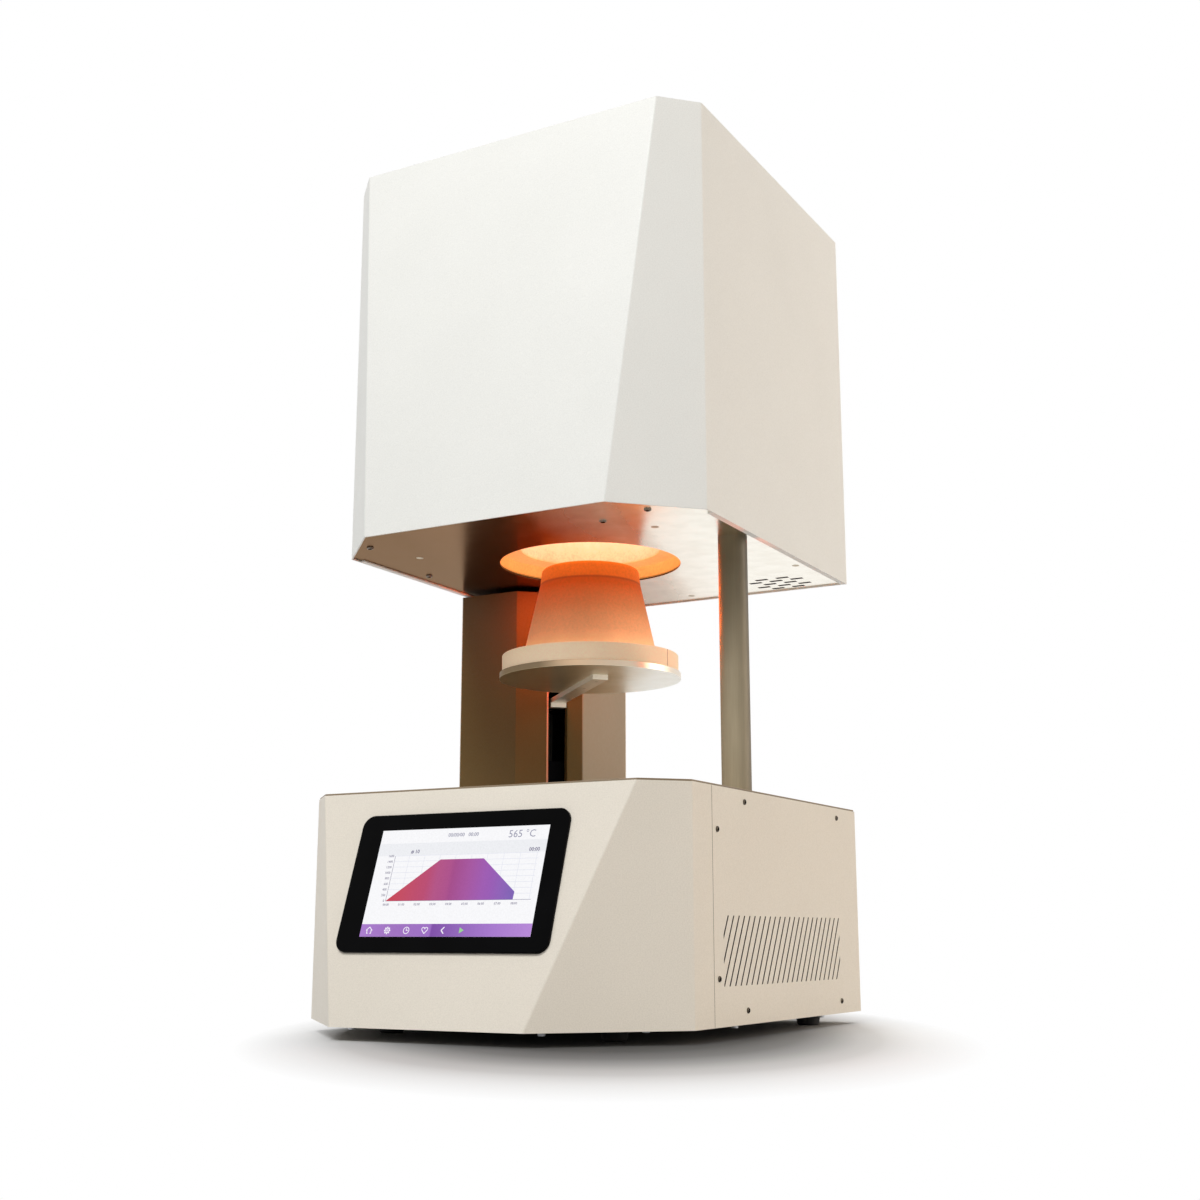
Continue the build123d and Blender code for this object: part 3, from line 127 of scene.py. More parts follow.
BLACK, WHITE = gray(0.0), gray(1.0)
print("display grey 0.5 is linear", round(linear(*gray(0.5))[0], 3))

# %% [markdown]
# ## Places and sums
# Wear, heat stains and glow depend on where a point lies on the furnace. Object coordinates give
# that place in metres, because every piece's object stands at the origin. A Mapping node turns or
# stretches them, and small sums on one coordinate pick out a face, an edge or a height.


# %% Helpers for places and sums
def coordinates(tree, scale=(1, 1, 1), turn=(0, 0, 0), centre=(0, 0, 0)):
    """Object coordinates from a centre, turned and scaled by Mapping nodes."""
    source = tree.nodes.new("ShaderNodeTexCoord")
    shifted = tree.nodes.new("ShaderNodeMapping")
    shifted.inputs["Location"].default_value = [-c for c in centre]
    tree.links.new(source.outputs["Object"], shifted.inputs["Vector"])
    mapping = tree.nodes.new("ShaderNodeMapping")
    mapping.inputs["Rotation"].default_value = turn
    mapping.inputs["Scale"].default_value = scale
    tree.links.new(shifted.outputs["Vector"], mapping.inputs["Vector"])
    return mapping.outputs["Vector"]


def axis_value(tree, vector, axis):
    """One coordinate of a vector."""
    node = tree.nodes.new("ShaderNodeSeparateXYZ")
    tree.links.new(vector, node.inputs["Vector"])
    return node.outputs[axis]


def reckon(tree, operation, first, second):
    """One sum on two values; each is a number or a socket."""
    node = tree.nodes.new("ShaderNodeMath")
    node.operation = operation
    for socket, value in zip(node.inputs, (first, second)):
        if isinstance(value, (int, float)):
            socket.default_value = value
        else:
            tree.links.new(value, socket)
    return node.outputs[0]


def spread(tree, value, start, end, low=0.0, high=1.0):
    """Value stretched from one span to another."""
    node = tree.nodes.new("ShaderNodeMapRange")
    spans = zip(("From Min", "From Max", "To Min", "To Max"), (start, end, low, high))
    for socket, number in spans:
        node.inputs[socket].default_value = number
    tree.links.new(value, node.inputs["Value"])
    return node.outputs["Result"]


print("units of object coordinates: metres")

# %% [markdown]
# ## Patterns and relief
# No real surface has one flat colour. Noise gives clouds, grains and pores, a ramp turns a value
# into colours, and two colours are mixed or multiplied. The same noise can feed a Bump node, so
# that the light sees the grain as well.


# %% Helpers for patterns
def noise(tree, vector, scale, detail=2.0):
    """Cloudy values from 0 to 1."""
    texture = tree.nodes.new("ShaderNodeTexNoise")
    texture.inputs["Scale"].default_value = scale
    texture.inputs["Detail"].default_value = detail
    tree.links.new(vector, texture.inputs["Vector"])
    return texture.outputs["Fac"]


def ramp(tree, value, stops):
    """Colour ramp over stops of (position, display colour)."""
    node = tree.nodes.new("ShaderNodeValToRGB")
    elements = node.color_ramp.elements
    for index, (position, color) in enumerate(stops):
        element = elements[index] if index < 2 else elements.new(position)
        element.position = position
        element.color = linear(*color)
    tree.links.new(value, node.inputs["Fac"])
    return node.outputs["Color"]


def mottle(tree, vector, scale, detail, dark, start=0.3, end=0.7):
    """Cloudy tint from a dark colour to white, to multiply a colour with."""
    return ramp(tree, noise(tree, vector, scale, detail), [(start, dark), (end, WHITE)])


def blend(tree, amount, first, second, mode="MIX"):
    """Two colours mixed; amount is a number or a socket."""
    node = tree.nodes.new("ShaderNodeMix")
    node.data_type = "RGBA"
    node.blend_type = mode
    if isinstance(amount, (int, float)):
        node.inputs["Factor"].default_value = amount
    else:
        tree.links.new(amount, node.inputs["Factor"])
    for socket, color in ((node.inputs[6], first), (node.inputs[7], second)):
        if isinstance(color, tuple):
            socket.default_value = linear(*color)
        else:
            tree.links.new(color, socket)
    return node.outputs[2]


def tinted(tree, first, second, amount=1.0):
    """One colour multiplied by another."""
    return blend(tree, amount, first, second, "MULTIPLY")


def relief(tree, shader, height, depth, strength=1.0):
    """Small relief in the shading, its depth in metres."""
    node = tree.nodes.new("ShaderNodeBump")
    node.inputs["Distance"].default_value = depth
    node.inputs["Strength"].default_value = strength
    tree.links.new(height, node.inputs["Height"])
    tree.links.new(node.outputs["Normal"], shader.inputs["Normal"])


print("patterns: noise, ramp, mottle, blend, tinted, relief")

# %% [markdown]
# ## Painted shade on the covers
# Three places of the painted covers carry a painted shade: the walls inside the side slots, the
# deck's folded rim, and the column below the head, darker towards the top. A texture painted by
# hand could show this, but here each place is a plain rule on coordinates, so it stays sharp. The
# column's outer left face and its rear keep the plain paint, its right face has a lighter painted
# shade, and a painted highlight runs along the edge of its slot.

# %% Places with painted shade and a painted highlight
# Painted shade on the walls inside the side panels' slots.
SIDE_SKIN = 0.17485
SIDE_REAR_END = 0.205
SLOT_SHADE = (0.17, 0.14, 0.11)
# Painted shade on the deck's folded rim.
DECK_TOP = 0.1897
RIM_SHADE = (0.50, 0.43, 0.33)
# Painted shade on the column: darker towards the top, lighter on its right face, none on its outer
# left face and rear.
COLUMN_FOOT, COLUMN_TOP = 0.19, 0.405
COLUMN_RIGHT, COLUMN_LEFT, COLUMN_REAR = -0.0648, -0.1736, 0.2130
COLUMN_SHADE = [(0.0, (0.44, 0.36, 0.19)), (0.45, (0.39, 0.305, 0.12)), (1.0, (0.29, 0.21, 0.06))]
RIGHT_FACE_SHADE = (0.67, 0.615, 0.53)
UNSHADED_PAINT = (0.96, 0.93, 0.87)
SLOT_FACE = (-0.0817, 0.1096, 0.0)
SLOT_FACE_TURN = (0, 0, radians(45))
# A painted highlight: a thin bright line along the outer edge of the column's slot.
HIGHLIGHT_LINE, HIGHLIGHT_HALF_WIDTH = -0.0102, 0.0009
PAINTED_HIGHLIGHT = (1.0, 0.70, 0.58)


def slot_shade_mask(tree):
    """1 on the walls of the side panels' slots, inside the outer skin, where a painted shade goes."""
    place = coordinates(tree)
    sideways = reckon(tree, "ABSOLUTE", axis_value(tree, place, "X"), 0.0)
    inside = reckon(tree, "LESS_THAN", sideways, SIDE_SKIN)
    ahead = reckon(tree, "LESS_THAN", axis_value(tree, place, "Y"), SIDE_REAR_END)
    return reckon(tree, "MULTIPLY", inside, ahead)


def rim_shade_mask(tree):
    """1 on the deck's rim, below its top face."""
    return reckon(tree, "LESS_THAN", axis_value(tree, coordinates(tree), "Z"), DECK_TOP)


def shadowed(tree):
    """Column paint with a painted shade, darker towards the top, and a painted highlight by its slot.
    """
    place = coordinates(tree)
    height = spread(tree, axis_value(tree, place, "Z"), COLUMN_FOOT, COLUMN_TOP)
    brown = ramp(tree, height, COLUMN_SHADE)
    right = reckon(tree, "GREATER_THAN", axis_value(tree, place, "X"), COLUMN_RIGHT)
    painted = blend(tree, right, brown, RIGHT_FACE_SHADE)
    away = reckon(tree, "LESS_THAN", axis_value(tree, place, "X"), COLUMN_LEFT)
    behind = reckon(tree, "GREATER_THAN", axis_value(tree, place, "Y"), COLUMN_REAR)
    painted = blend(tree, reckon(tree, "MAXIMUM", away, behind), painted, UNSHADED_PAINT)
    # Painted highlight along the edge of the slot.
    slanted = coordinates(tree, turn=SLOT_FACE_TURN, centre=SLOT_FACE)
    highlight_band = reckon(tree, "COMPARE", axis_value(tree, slanted, "Y"), HIGHLIGHT_LINE)
    highlight_band.node.inputs[2].default_value = HIGHLIGHT_HALF_WIDTH
    outer = reckon(tree, "GREATER_THAN", axis_value(tree, slanted, "X"), -0.0005)
    return blend(tree, reckon(tree, "MULTIPLY", highlight_band, outer), painted, PAINTED_HIGHLIGHT)


print("column paint browned from", COLUMN_FOOT, "to", COLUMN_TOP, "m")

# %% [markdown]
# ## Powder coat
# The covers are folded steel with a baked powder coat. Up close it has a fine, slightly bumpy skin
# like orange peel, and tiny grains a little lighter and darker than the rest. Two noises make it: a
# fine one for the grain and a broad one for faint clouds. The head is a cooler white than the base.


# %% Powder coat
def powder_coat(name, color, grain, slotted=False, shade_painted=False, rim_shaded=False):
    """Satin powder coat with a fine grain, and with the places that have another colour."""
    material, tree, shader = finish(name, color, 0.5)
    place = coordinates(tree)
    darker, lighter = shades(color, grain)
    fine = ramp(tree, noise(tree, place, 1100.0, 3.0), [(0.35, darker), (0.65, lighter)])
    broad = ramp(tree, noise(tree, place, 9.0), [(0.3, darker), (0.7, lighter)])
    coat = blend(tree, 0.3, fine, broad)
    # Painted shade in the slots.
    if slotted:
        coat = blend(tree, slot_shade_mask(tree), coat, SLOT_SHADE)
    # Painted shade on the deck's rim.
    if rim_shaded:
        coat = blend(tree, rim_shade_mask(tree), coat, RIM_SHADE)
    # Painted shade on the column: most of its colour comes from the shade ramps.
    if shade_painted:
        coat = blend(tree, 0.82, coat, shadowed(tree))
        shader.inputs["Specular IOR Level"].default_value = 0.2
    tree.links.new(coat, shader.inputs["Base Color"])
    satin = spread(tree, noise(tree, place, 260.0), 0.3, 0.7, 0.42, 0.58)
    tree.links.new(satin, shader.inputs["Roughness"])
    relief(tree, shader, noise(tree, place, 900.0, 1.0), 0.00004, 0.35)
    return material


BASE_CREAM = (0.90, 0.87, 0.815)
head_coat = powder_coat("head_powder_coat", (0.925, 0.925, 0.905), 0.02)
base_coat = powder_coat("base_powder_coat", BASE_CREAM, 0.022)
slotted_coat = powder_coat("slotted_powder_coat", BASE_CREAM, 0.022, slotted=True)
deck_coat = powder_coat("deck_powder_coat", (0.70, 0.64, 0.54), 0.025, rim_shaded=True)
column_coat = powder_coat("column_powder_coat", (0.50, 0.42, 0.32), 0.05, shade_painted=True)
wear(head_coat, "head_wrap", "head_rear_panel", "head_top_panel")
wear(base_coat, "base_front_panel", "base_rear_panel", "base_floor_pan")
wear(slotted_coat, "side_panel_right", "side_panel_left")
wear(deck_coat, "base_top_deck")
wear(column_coat, "column_cover", "column_back_panel")
print("powder coats:", head_coat.name, base_coat.name, column_coat.name)

# %% [markdown]
# ## Metals
# The lift arm and the furnace's inner jacket are stainless steel, left bare and brushed along one
# direction. A noise stretched far along the brush gives the lines, in the colour, the roughness and
# the relief. Rolled zinc, milled aluminium, bronze and black anodised parts are made by the same
# helper, because only their colour, gloss and brush differ.


# %% Metals
def metal(name, color, roughness, stretch, variation=0.05, lines=0.00002):
    """Metal with marks stretched along its brush; stretch scales the coordinates."""
    material, tree, shader = finish(name, color, roughness, 1.0)
    marks = noise(tree, coordinates(tree, scale=stretch), 1.0, 4.0)
    clouds = noise(tree, coordinates(tree), 22.0, 3.0)
    darker, lighter = shades(color, variation)
    streaks = ramp(tree, marks, [(0.3, darker), (0.7, lighter)])
    stains = ramp(tree, clouds, [(0.3, darker), (0.7, lighter)])
    tree.links.new(blend(tree, 0.4, streaks, stains), shader.inputs["Base Color"])
    rough = spread(tree, marks, 0.3, 0.7, roughness - 0.07, roughness + 0.1)
    tree.links.new(rough, shader.inputs["Roughness"])
    relief(tree, shader, marks, lines, 0.5)
    return material


SMALL = (900, 900, 900)
zinc = metal("rolled_zinc", (0.74, 0.75, 0.77), 0.42, (300, 300, 60))
screw_steel = metal("screw_steel", (0.80, 0.78, 0.73), 0.36, SMALL)
plate_screw_steel = metal("plate_screw_steel", (0.46, 0.42, 0.38), 0.26, SMALL, 0.03)
dark_screw = metal("dark_screw", (0.34, 0.31, 0.27), 0.30, SMALL, 0.03)
# The rails and the lead screw stand in the column's dark slot, so their steel is darkened: a painted
# shade.
shade_darkened_steel = metal("shade_darkened_steel", (0.20, 0.19, 0.18), 0.30, (1500, 1500, 25))
ground_steel = metal("ground_steel", (0.74, 0.74, 0.75), 0.22, (1500, 1500, 25))
milled = metal("milled_aluminium", (0.83, 0.83, 0.84), 0.34, (900, 90, 90))
anodised = metal("black_anodised", (0.05, 0.05, 0.055), 0.45, (700, 700, 700), 0.015)
bronze = metal("bronze", (0.80, 0.62, 0.36), 0.30, (800, 800, 120))
weld_tint = metal("weld_tint", (0.74, 0.68, 0.58), 0.4, (700, 700, 700), 0.04)
arm_steel = metal("brushed_arm", (0.95, 0.93, 0.88), 0.38, (500, 500, 500), 0.03, 0.000006)
wear(arm_steel, "lift_arm", "insulation_jacket")
wear(zinc, "deck_pillars", "display_frame", "post_flanges", "floor_screws", "fan_guard")
wear(screw_steel, "arm_screws")
wear(dark_screw, "cover_screws")
wear(ground_steel, "motor_shaft")
wear(shade_darkened_steel, "guide_rail", "lead_screw", "rail_carriage")
wear(milled, "power_supply", "heat_sink", "motor_mount", "shaft_coupling", "connection_straps")
wear(anodised, "lower_bearing_block", "upper_bearing_block", "carriage_plate", "column_backbone")
wear(bronze, "inlet_pins", "screw_nut")
print("materials so far:", len(bpy.data.materials))

# %% [markdown]
# ## The post
# The round post is brushed steel that has dulled beside the mouth, so only a part of it still
# mirrors like bare metal. Its colour carries a painted shade on the side turned away from the
# light and towards its upper end under the head. One ramp runs across the post and one along its
# height, and both multiply the brushed colour.

# %% Post steel
POST_CENTRE = (0.152, 0.0029, 0.0)
POST_RADIUS = 0.0123
POST_FOOT, POST_TOP = 0.2, 0.404
post_steel = metal("brushed_post", (0.63, 0.58, 0.475), 0.5, (900, 900, 30), 0.03, 0.00001)
tree = post_steel.node_tree
shader = tree.nodes["Principled BSDF"]
shader.inputs["Metallic"].default_value = 0.2
facing_camera = coordinates(tree, turn=(0, 0, radians(-29)), centre=POST_CENTRE)
across_post = spread(tree, axis_value(tree, facing_camera, "X"), -POST_RADIUS, POST_RADIUS)
# Painted shade on the side of the post turned away from the light.
side_shade = ramp(tree, across_post, [(0.5, WHITE), (0.92, gray(0.72))])
up_post = spread(tree, axis_value(tree, coordinates(tree), "Z"), POST_FOOT, POST_TOP)
# Painted shade towards the top of the post, under the head.
upper_shade = ramp(tree, up_post, [(0.45, WHITE), (0.9, (0.66, 0.64, 0.58))])
bare = shader.inputs["Base Color"].links[0].from_socket
tree.links.new(tinted(tree, tinted(tree, bare, side_shade), upper_shade), shader.inputs["Base Color"])
wear(post_steel, "post_tube")
print("post darkened towards", POST_TOP, "m")

# %% [markdown]
# ## Plates with painted reflections
# The brushed steel of the plate under the head carries a painted reflection: straw brown on one
# side and bright on the other. The plug's own plate carries one in the same way. The painted
# reflection follows a slanted line: a Mapping node turns the coordinates, and a ramp tints the
# metal. A second colour covers what lies above a height: a painted shade in the head plate's vent
# slots and on its hidden upper side, and a painted reflection with a bright band on the plug's rim.


# %% Steel with painted reflections
def reflection_painted_steel(name, turn, span, stops, roughness, metallic, above, upper, bareness=None):
    """Brushed steel with a reflection painted along a slanted axis; above a height it has another
    colour.
    """
    material, tree, shader = finish(name, (0.92, 0.90, 0.87), roughness, metallic)
    place = coordinates(tree)
    wander = spread(tree, noise(tree, place, 16.0, 3.0), 0.3, 0.7, -0.006, 0.006)
    slanted = axis_value(tree, coordinates(tree, turn=(0, 0, -turn)), "X")
    along = spread(tree, reckon(tree, "ADD", slanted, wander), *span)
    # The reflection's tint follows the same painted band.
    edge_stops = [(0.0, (0.80, 0.74, 0.67)), (0.55, (0.82, 0.77, 0.71)), (0.85, WHITE)]
    painted_reflection, edge_tint = ramp(tree, along, stops), ramp(tree, along, edge_stops)
    tree.links.new(edge_tint, shader.inputs["Specular Tint"])
    brushed = noise(tree, coordinates(tree, scale=(60, 1400, 1400)), 1.0, 4.0)
    spots = noise(tree, place, 60.0, 4.0)
    streaks = ramp(tree, brushed, [(0.3, gray(0.98)), (0.7, WHITE)])
    stains = ramp(tree, spots, [(0.35, (0.97, 0.965, 0.955)), (0.6, WHITE)])
    reflection_and_marks = tinted(tree, tinted(tree, painted_reflection, streaks), stains)
    higher = reckon(tree, "GREATER_THAN", axis_value(tree, place, "Z"), above)
    other = ramp(tree, along, upper) if isinstance(upper, list) else upper
    tree.links.new(blend(tree, higher, reflection_and_marks, other), shader.inputs["Base Color"])
    if bareness:
        lower = reckon(tree, "SUBTRACT", 1.0, higher)
        bare = reckon(tree, "MULTIPLY", ramp(tree, along, bareness), lower)
        tree.links.new(bare, shader.inputs["Metallic"])
    rough = spread(tree, spots, 0.3, 0.7, roughness - 0.02, roughness + 0.03)
    tree.links.new(rough, shader.inputs["Roughness"])
    relief(tree, shader, brushed, 0.000002, 0.15)
    return material


HEAD_REFLECTION = [
    (0.0, (0.55, 0.45, 0.39)),
    (0.25, (0.62, 0.50, 0.43)),
    (0.45, (0.72, 0.60, 0.53)),
    (0.62, (0.82, 0.73, 0.66)),
    (0.76, (0.90, 0.83, 0.75)),
    (0.88, (0.975, 0.935, 0.875)),
    (1.0, (1.0, 0.98, 0.93)),
]
HEAD_BARENESS = [(0.48, WHITE), (0.62, gray(0.80)), (0.74, gray(0.66)), (0.86, WHITE)]
PLUG_REFLECTION = [
    (0.0, (0.74, 0.68, 0.55)),
    (0.35, (0.74, 0.68, 0.55)),
    (0.5, (0.83, 0.78, 0.67)),
    (0.64, (0.97, 0.93, 0.84)),
    (0.85, (1.0, 1.0, 0.97)),
]
PLUG_RIM_REFLECTION = [
    (0.0, (0.44, 0.37, 0.27)),
    (0.33, (0.52, 0.45, 0.35)),
    (0.5, (0.84, 0.72, 0.59)),
    (0.65, (0.84, 0.76, 0.66)),
    (1.0, (0.90, 0.86, 0.80)),
]
head_plate = reflection_painted_steel(
    "reflection_painted_plate",
    turn=radians(17.7),
    span=(-0.128, 0.122),
    stops=HEAD_REFLECTION,
    roughness=0.22,
    metallic=1.0,
    above=0.4053,
    # Painted shade in the vent slots and on the plate's hidden upper side.
    upper=(0.16, 0.12, 0.09),
    bareness=HEAD_BARENESS,
)
plug_steel = reflection_painted_steel(
    "reflection_painted_plug_plate",
    turn=radians(29.0),
    span=(-0.09, 0.10),
    stops=PLUG_REFLECTION,
    roughness=0.32,
    metallic=0.75,
    above=0.2992,
    upper=PLUG_RIM_REFLECTION,
)
wear(head_plate, "head_bottom_plate")
wear(plug_steel, "plug_plate")
print("stained plates:", head_plate.name, plug_steel.name)

# %% [markdown]
# ## Plastics and rubber
# Moulded parts have an even colour with a fine spark-eroded grain, which is a small noise in the
# relief. The switch rocker is the same plastic with a glossy skin. The shadow in a screw's socket
# is nearly black and has no reflection at all.


# %% Plastics and rubber
def moulded(name, color, roughness, grain=0.00003):
    """Moulded plastic or rubber with a fine grain."""
    material, tree, shader = finish(name, color, roughness)
    place = coordinates(tree)
    lighter = shades(color, 0.03)[1]
    tone = ramp(tree, noise(tree, place, 120.0, 4.0), [(0.35, color), (0.75, lighter)])
    tree.links.new(tone, shader.inputs["Base Color"])
    rough = spread(tree, noise(tree, place, 60.0), 0.3, 0.7, roughness - 0.06, roughness + 0.06)
    tree.links.new(rough, shader.inputs["Roughness"])
    relief(tree, shader, noise(tree, place, 2200.0), grain, 0.5)
    return material


black_plastic = moulded("black_plastic", gray(0.09), 0.5)
gloss_plastic = moulded("gloss_plastic", gray(0.07), 0.18, 0.000004)
rubber = moulded("foot_rubber", gray(0.11), 0.75, 0.00006)
socket_shadow = moulded("socket_shadow", gray(0.01), 0.9)
socket_shader = socket_shadow.node_tree.nodes["Principled BSDF"]
socket_shader.inputs["Specular IOR Level"].default_value = 0.0
wear(black_plastic, "display_module", "power_controller", "fan_housing", "fan_rotor")
wear(black_plastic, "mains_inlet", "switch_body")
wear(gloss_plastic, "switch_rocker")
wear(rubber, "rubber_feet")
print("materials so far:", len(bpy.data.materials))

# %% [markdown]
# ## Circuit board
# The control board shows green lacquer over fine copper tracks. A photograph of a board would need
# an image file, so a brick pattern with very small rows stands for the tracks, and it also gives
# them a little height.

# %% Circuit board
board, tree, shader = finish("circuit_board", (0.08, 0.36, 0.18), 0.35)
tracks = tree.nodes.new("ShaderNodeTexBrick")
tracks.inputs["Scale"].default_value = 160.0
tracks.inputs["Mortar Size"].default_value = 0.07
tracks.inputs["Color1"].default_value = linear(0.06, 0.32, 0.16)
tracks.inputs["Color2"].default_value = linear(0.09, 0.38, 0.20)
tracks.inputs["Mortar"].default_value = linear(0.20, 0.50, 0.28)
tree.links.new(coordinates(tree), tracks.inputs["Vector"])
tree.links.new(tracks.outputs["Color"], shader.inputs["Base Color"])
relief(tree, shader, tracks.outputs["Fac"], 0.00003, 0.6)
wear(board, "control_board")
print("board:", board.name)

# %% [markdown]
# ## Laminations and windings
# The transformer's core and the motor are stacks of thin steel sheets, and the windings are rows of
# lacquered copper wire. Modelling every sheet would cost thousands of faces for parts that are
# hardly seen, so a wave pattern draws both as fine bands.


# %% Laminations and windings
def banded(name, dark, light, roughness, metallic, rows, direction):
    """Finish in fine bands, for stacked sheets and wound wire."""
    material, tree, shader = finish(name, light, roughness, metallic)
    bands = tree.nodes.new("ShaderNodeTexWave")
    bands.bands_direction = direction
    bands.inputs["Scale"].default_value = rows
    bands.inputs["Distortion"].default_value = 0.6
    bands.inputs["Detail"].default_value = 1.0
    tree.links.new(coordinates(tree), bands.inputs["Vector"])
    tone = ramp(tree, bands.outputs["Fac"], [(0.2, dark), (0.8, light)])
    tree.links.new(tone, shader.inputs["Base Color"])
    relief(tree, shader, bands.outputs["Fac"], 0.0001, 0.7)
    return material


SHEET_DARK, SHEET_LIGHT = (0.20, 0.20, 0.21), (0.38, 0.38, 0.40)
WIRE_DARK, WIRE_LIGHT = (0.42, 0.20, 0.10), (0.80, 0.46, 0.28)
laminations = banded("core_laminations", SHEET_DARK, SHEET_LIGHT, 0.5, 0.8, 300.0, "Y")
windings = banded("wound_copper", WIRE_DARK, WIRE_LIGHT, 0.35, 0.9, 260.0, "Z")
wear(laminations, "transformer_core", "lift_motor")
wear(windings, "transformer_windings")
print("banded finishes:", laminations.name, windings.name)

# %% [markdown]
# ## Ceramic fibre
# The blocks round the chamber, the disc, the cone and the cap are pressed from ceramic fibre. Cold
# fibre is a chalky cream with fine pores. Near the mouth it carries painted light from the chamber,
# so its colour runs along the height. One ramp on the Z coordinate gives the colour and a second
# one the painted glow, which needs its own balance: where it is orange, the fibre under it is kept
# browner.


# %% Ceramic fibre
def fibre(name, span, stops, glow_stops, strength):
    """Pressed fibre whose colour and painted glow follow the height; span is its bottom and top."""
    material, tree, shader = finish(name, stops[0][1], 0.85)
    place = coordinates(tree)
    height = spread(tree, axis_value(tree, place, "Z"), *span)
    cold = ramp(tree, height, stops)
    grain = mottle(tree, place, 700.0, 4.0, gray(0.93))
    tree.links.new(tinted(tree, cold, grain, 0.5), shader.inputs["Base Color"])
    glow = ramp(tree, height, glow_stops)
    blotches = mottle(tree, place, 30.0, 3.0, gray(0.86))
    specks = mottle(tree, place, 420.0, 5.0, gray(0.84), 0.32, 0.6)
    glow = tinted(tree, tinted(tree, glow, blotches), specks)
    tree.links.new(glow, shader.inputs["Emission Color"])
    shader.inputs["Emission Strength"].default_value = strength
    relief(tree, shader, noise(tree, place, 700.0, 3.0), 0.00012, 0.6)
    return material


cold_fibre = fibre(
    "cold_fibre",
    (0.0, 0.7),
    [(0.0, (0.88, 0.81, 0.71)), (1.0, (0.90, 0.84, 0.75))],
    [(0.0, BLACK), (1.0, BLACK)],
    0.0,
)
# The disc lies in the head's shade; its brighter colour and its glow are painted light from the mouth
# and the front.
disc_fibre_painted_light = fibre(
    "disc_fibre_painted_light",
    (0.3, 0.33),
    [(0.0, (1.0, 0.92, 0.80)), (1.0, (1.0, 0.93, 0.81))],
    [(0.0, (0.40, 0.32, 0.24)), (1.0, (0.50, 0.38, 0.27))],
    1.0,
)
wear(cold_fibre, "chamber_roof", "element_holders", "thermocouple")
wear(disc_fibre_painted_light, "plug_disc")
print("fibre:", cold_fibre.name, disc_fibre_painted_light.name)

# %% [markdown]
# ## The hot mouth
# The throat carries a painted glow, standing in for the chamber's light, from orange at its lip to
# pale yellow inside. The cone and the cap carry painted light from the mouth, most at the top, and
# a thin dark joint runs between them. Cone and cap share one finish, whose span reaches from the
# foot of the cone to the top of the cap, so the colour runs on over the joint.

# %% Glowing cone and throat
CONE_COLOR = [
    (0.0, (1.0, 0.84, 0.69)),
    (0.2, (0.85, 0.735, 0.555)),
    (0.5, (0.68, 0.56, 0.37)),
    (0.75, (0.54, 0.36, 0.09)),
    (0.79, (0.52, 0.34, 0.07)),
    (0.812, (0.46, 0.28, 0.08)),
    (0.83, (0.59, 0.39, 0.12)),
    (1.0, (0.61, 0.39, 0.10)),
]
# Painted light from the mouth on the cone and the cap.
CONE_GLOW = [
    (0.0, (0.80, 0.62, 0.44)),
    (0.09, (0.71, 0.47, 0.29)),
    (0.2, (0.65, 0.31, 0.18)),
    (0.5, (0.61, 0.12, 0.0)),
    (0.72, (0.65, 0.03, 0.0)),
    (0.79, (0.61, 0.0, 0.0)),
    (0.812, (0.45, 0.03, 0.0)),
    (0.83, (0.70, 0.21, 0.02)),
    (0.97, (0.72, 0.28, 0.04)),
    (1.0, (0.88, 0.43, 0.08)),
]
THROAT_COLOR = [(0.0, (0.98, 0.72, 0.45)), (1.0, (1.0, 0.90, 0.74))]
# Painted glow of the throat, standing in for the chamber's light.
THROAT_GLOW = [
    (0.0, (0.93, 0.60, 0.29)),
    (0.3, (0.94, 0.64, 0.34)),
    (0.36, (0.98, 0.785, 0.65)),
    (1.0, (1.0, 0.84, 0.73)),
]
cap_low, cap_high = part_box("plug_cap")
cone_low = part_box("plug_cone")[0]
throat_low, throat_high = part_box("throat_block")
mouth_x, mouth_y = (cap_low[0] + cap_high[0]) / 2, (cap_low[1] + cap_high[1]) / 2
cone_fibre = fibre("cone_fibre", (cone_low[2], cap_high[2]), CONE_COLOR, CONE_GLOW, 0.9)
throat_fibre = fibre(
    "throat_fibre", (throat_low[2], throat_high[2]), THROAT_COLOR, THROAT_GLOW, 0.75
)
wear(cone_fibre, "plug_cone", "plug_cap")
wear(throat_fibre, "throat_block", "chamber_wall")
print("mouth axis at", round(mouth_x, 4), round(mouth_y, 4))

# %% [markdown]
# ## Heating elements
# The heating elements shine through the chamber. Their cold tails stand above the chamber's roof
# and do not glow, so that nothing lights up behind the rear vents. A sum on the height tells the
# two apart.

# %% Heating elements
COLD_TAIL = 0.012
roof_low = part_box("chamber_roof")[0]
element, tree, shader = finish("hot_element", (0.45, 0.35, 0.28), 0.5, 0.3)
scale_marks = noise(tree, coordinates(tree), 400.0, 3.0)
height = axis_value(tree, coordinates(tree), "Z")
inside = reckon(tree, "LESS_THAN", height, roof_low[2] + COLD_TAIL)
hot_tone = ramp(tree, scale_marks, [(0.3, (1.0, 0.62, 0.28)), (0.7, (1.0, 0.80, 0.48))])
tree.links.new(blend(tree, inside, BLACK, hot_tone), shader.inputs["Emission Color"])
shader.inputs["Emission Strength"].default_value = 0.7
relief(tree, shader, scale_marks, 0.0001, 0.5)
wear(element, "heating_elements")
print("elements glow below", round(roof_low[2] + COLD_TAIL, 4), "m")

# %% [markdown]
# ## The display's glass
# One sheet of black glass covers the display and its frame. It is smooth and dark, with a few faint
# smudges from fingers, which change the roughness and the colour a little. Its reflection is kept
# weak, as on glass with an anti-glare coat, so that the white room does not grey the black border.

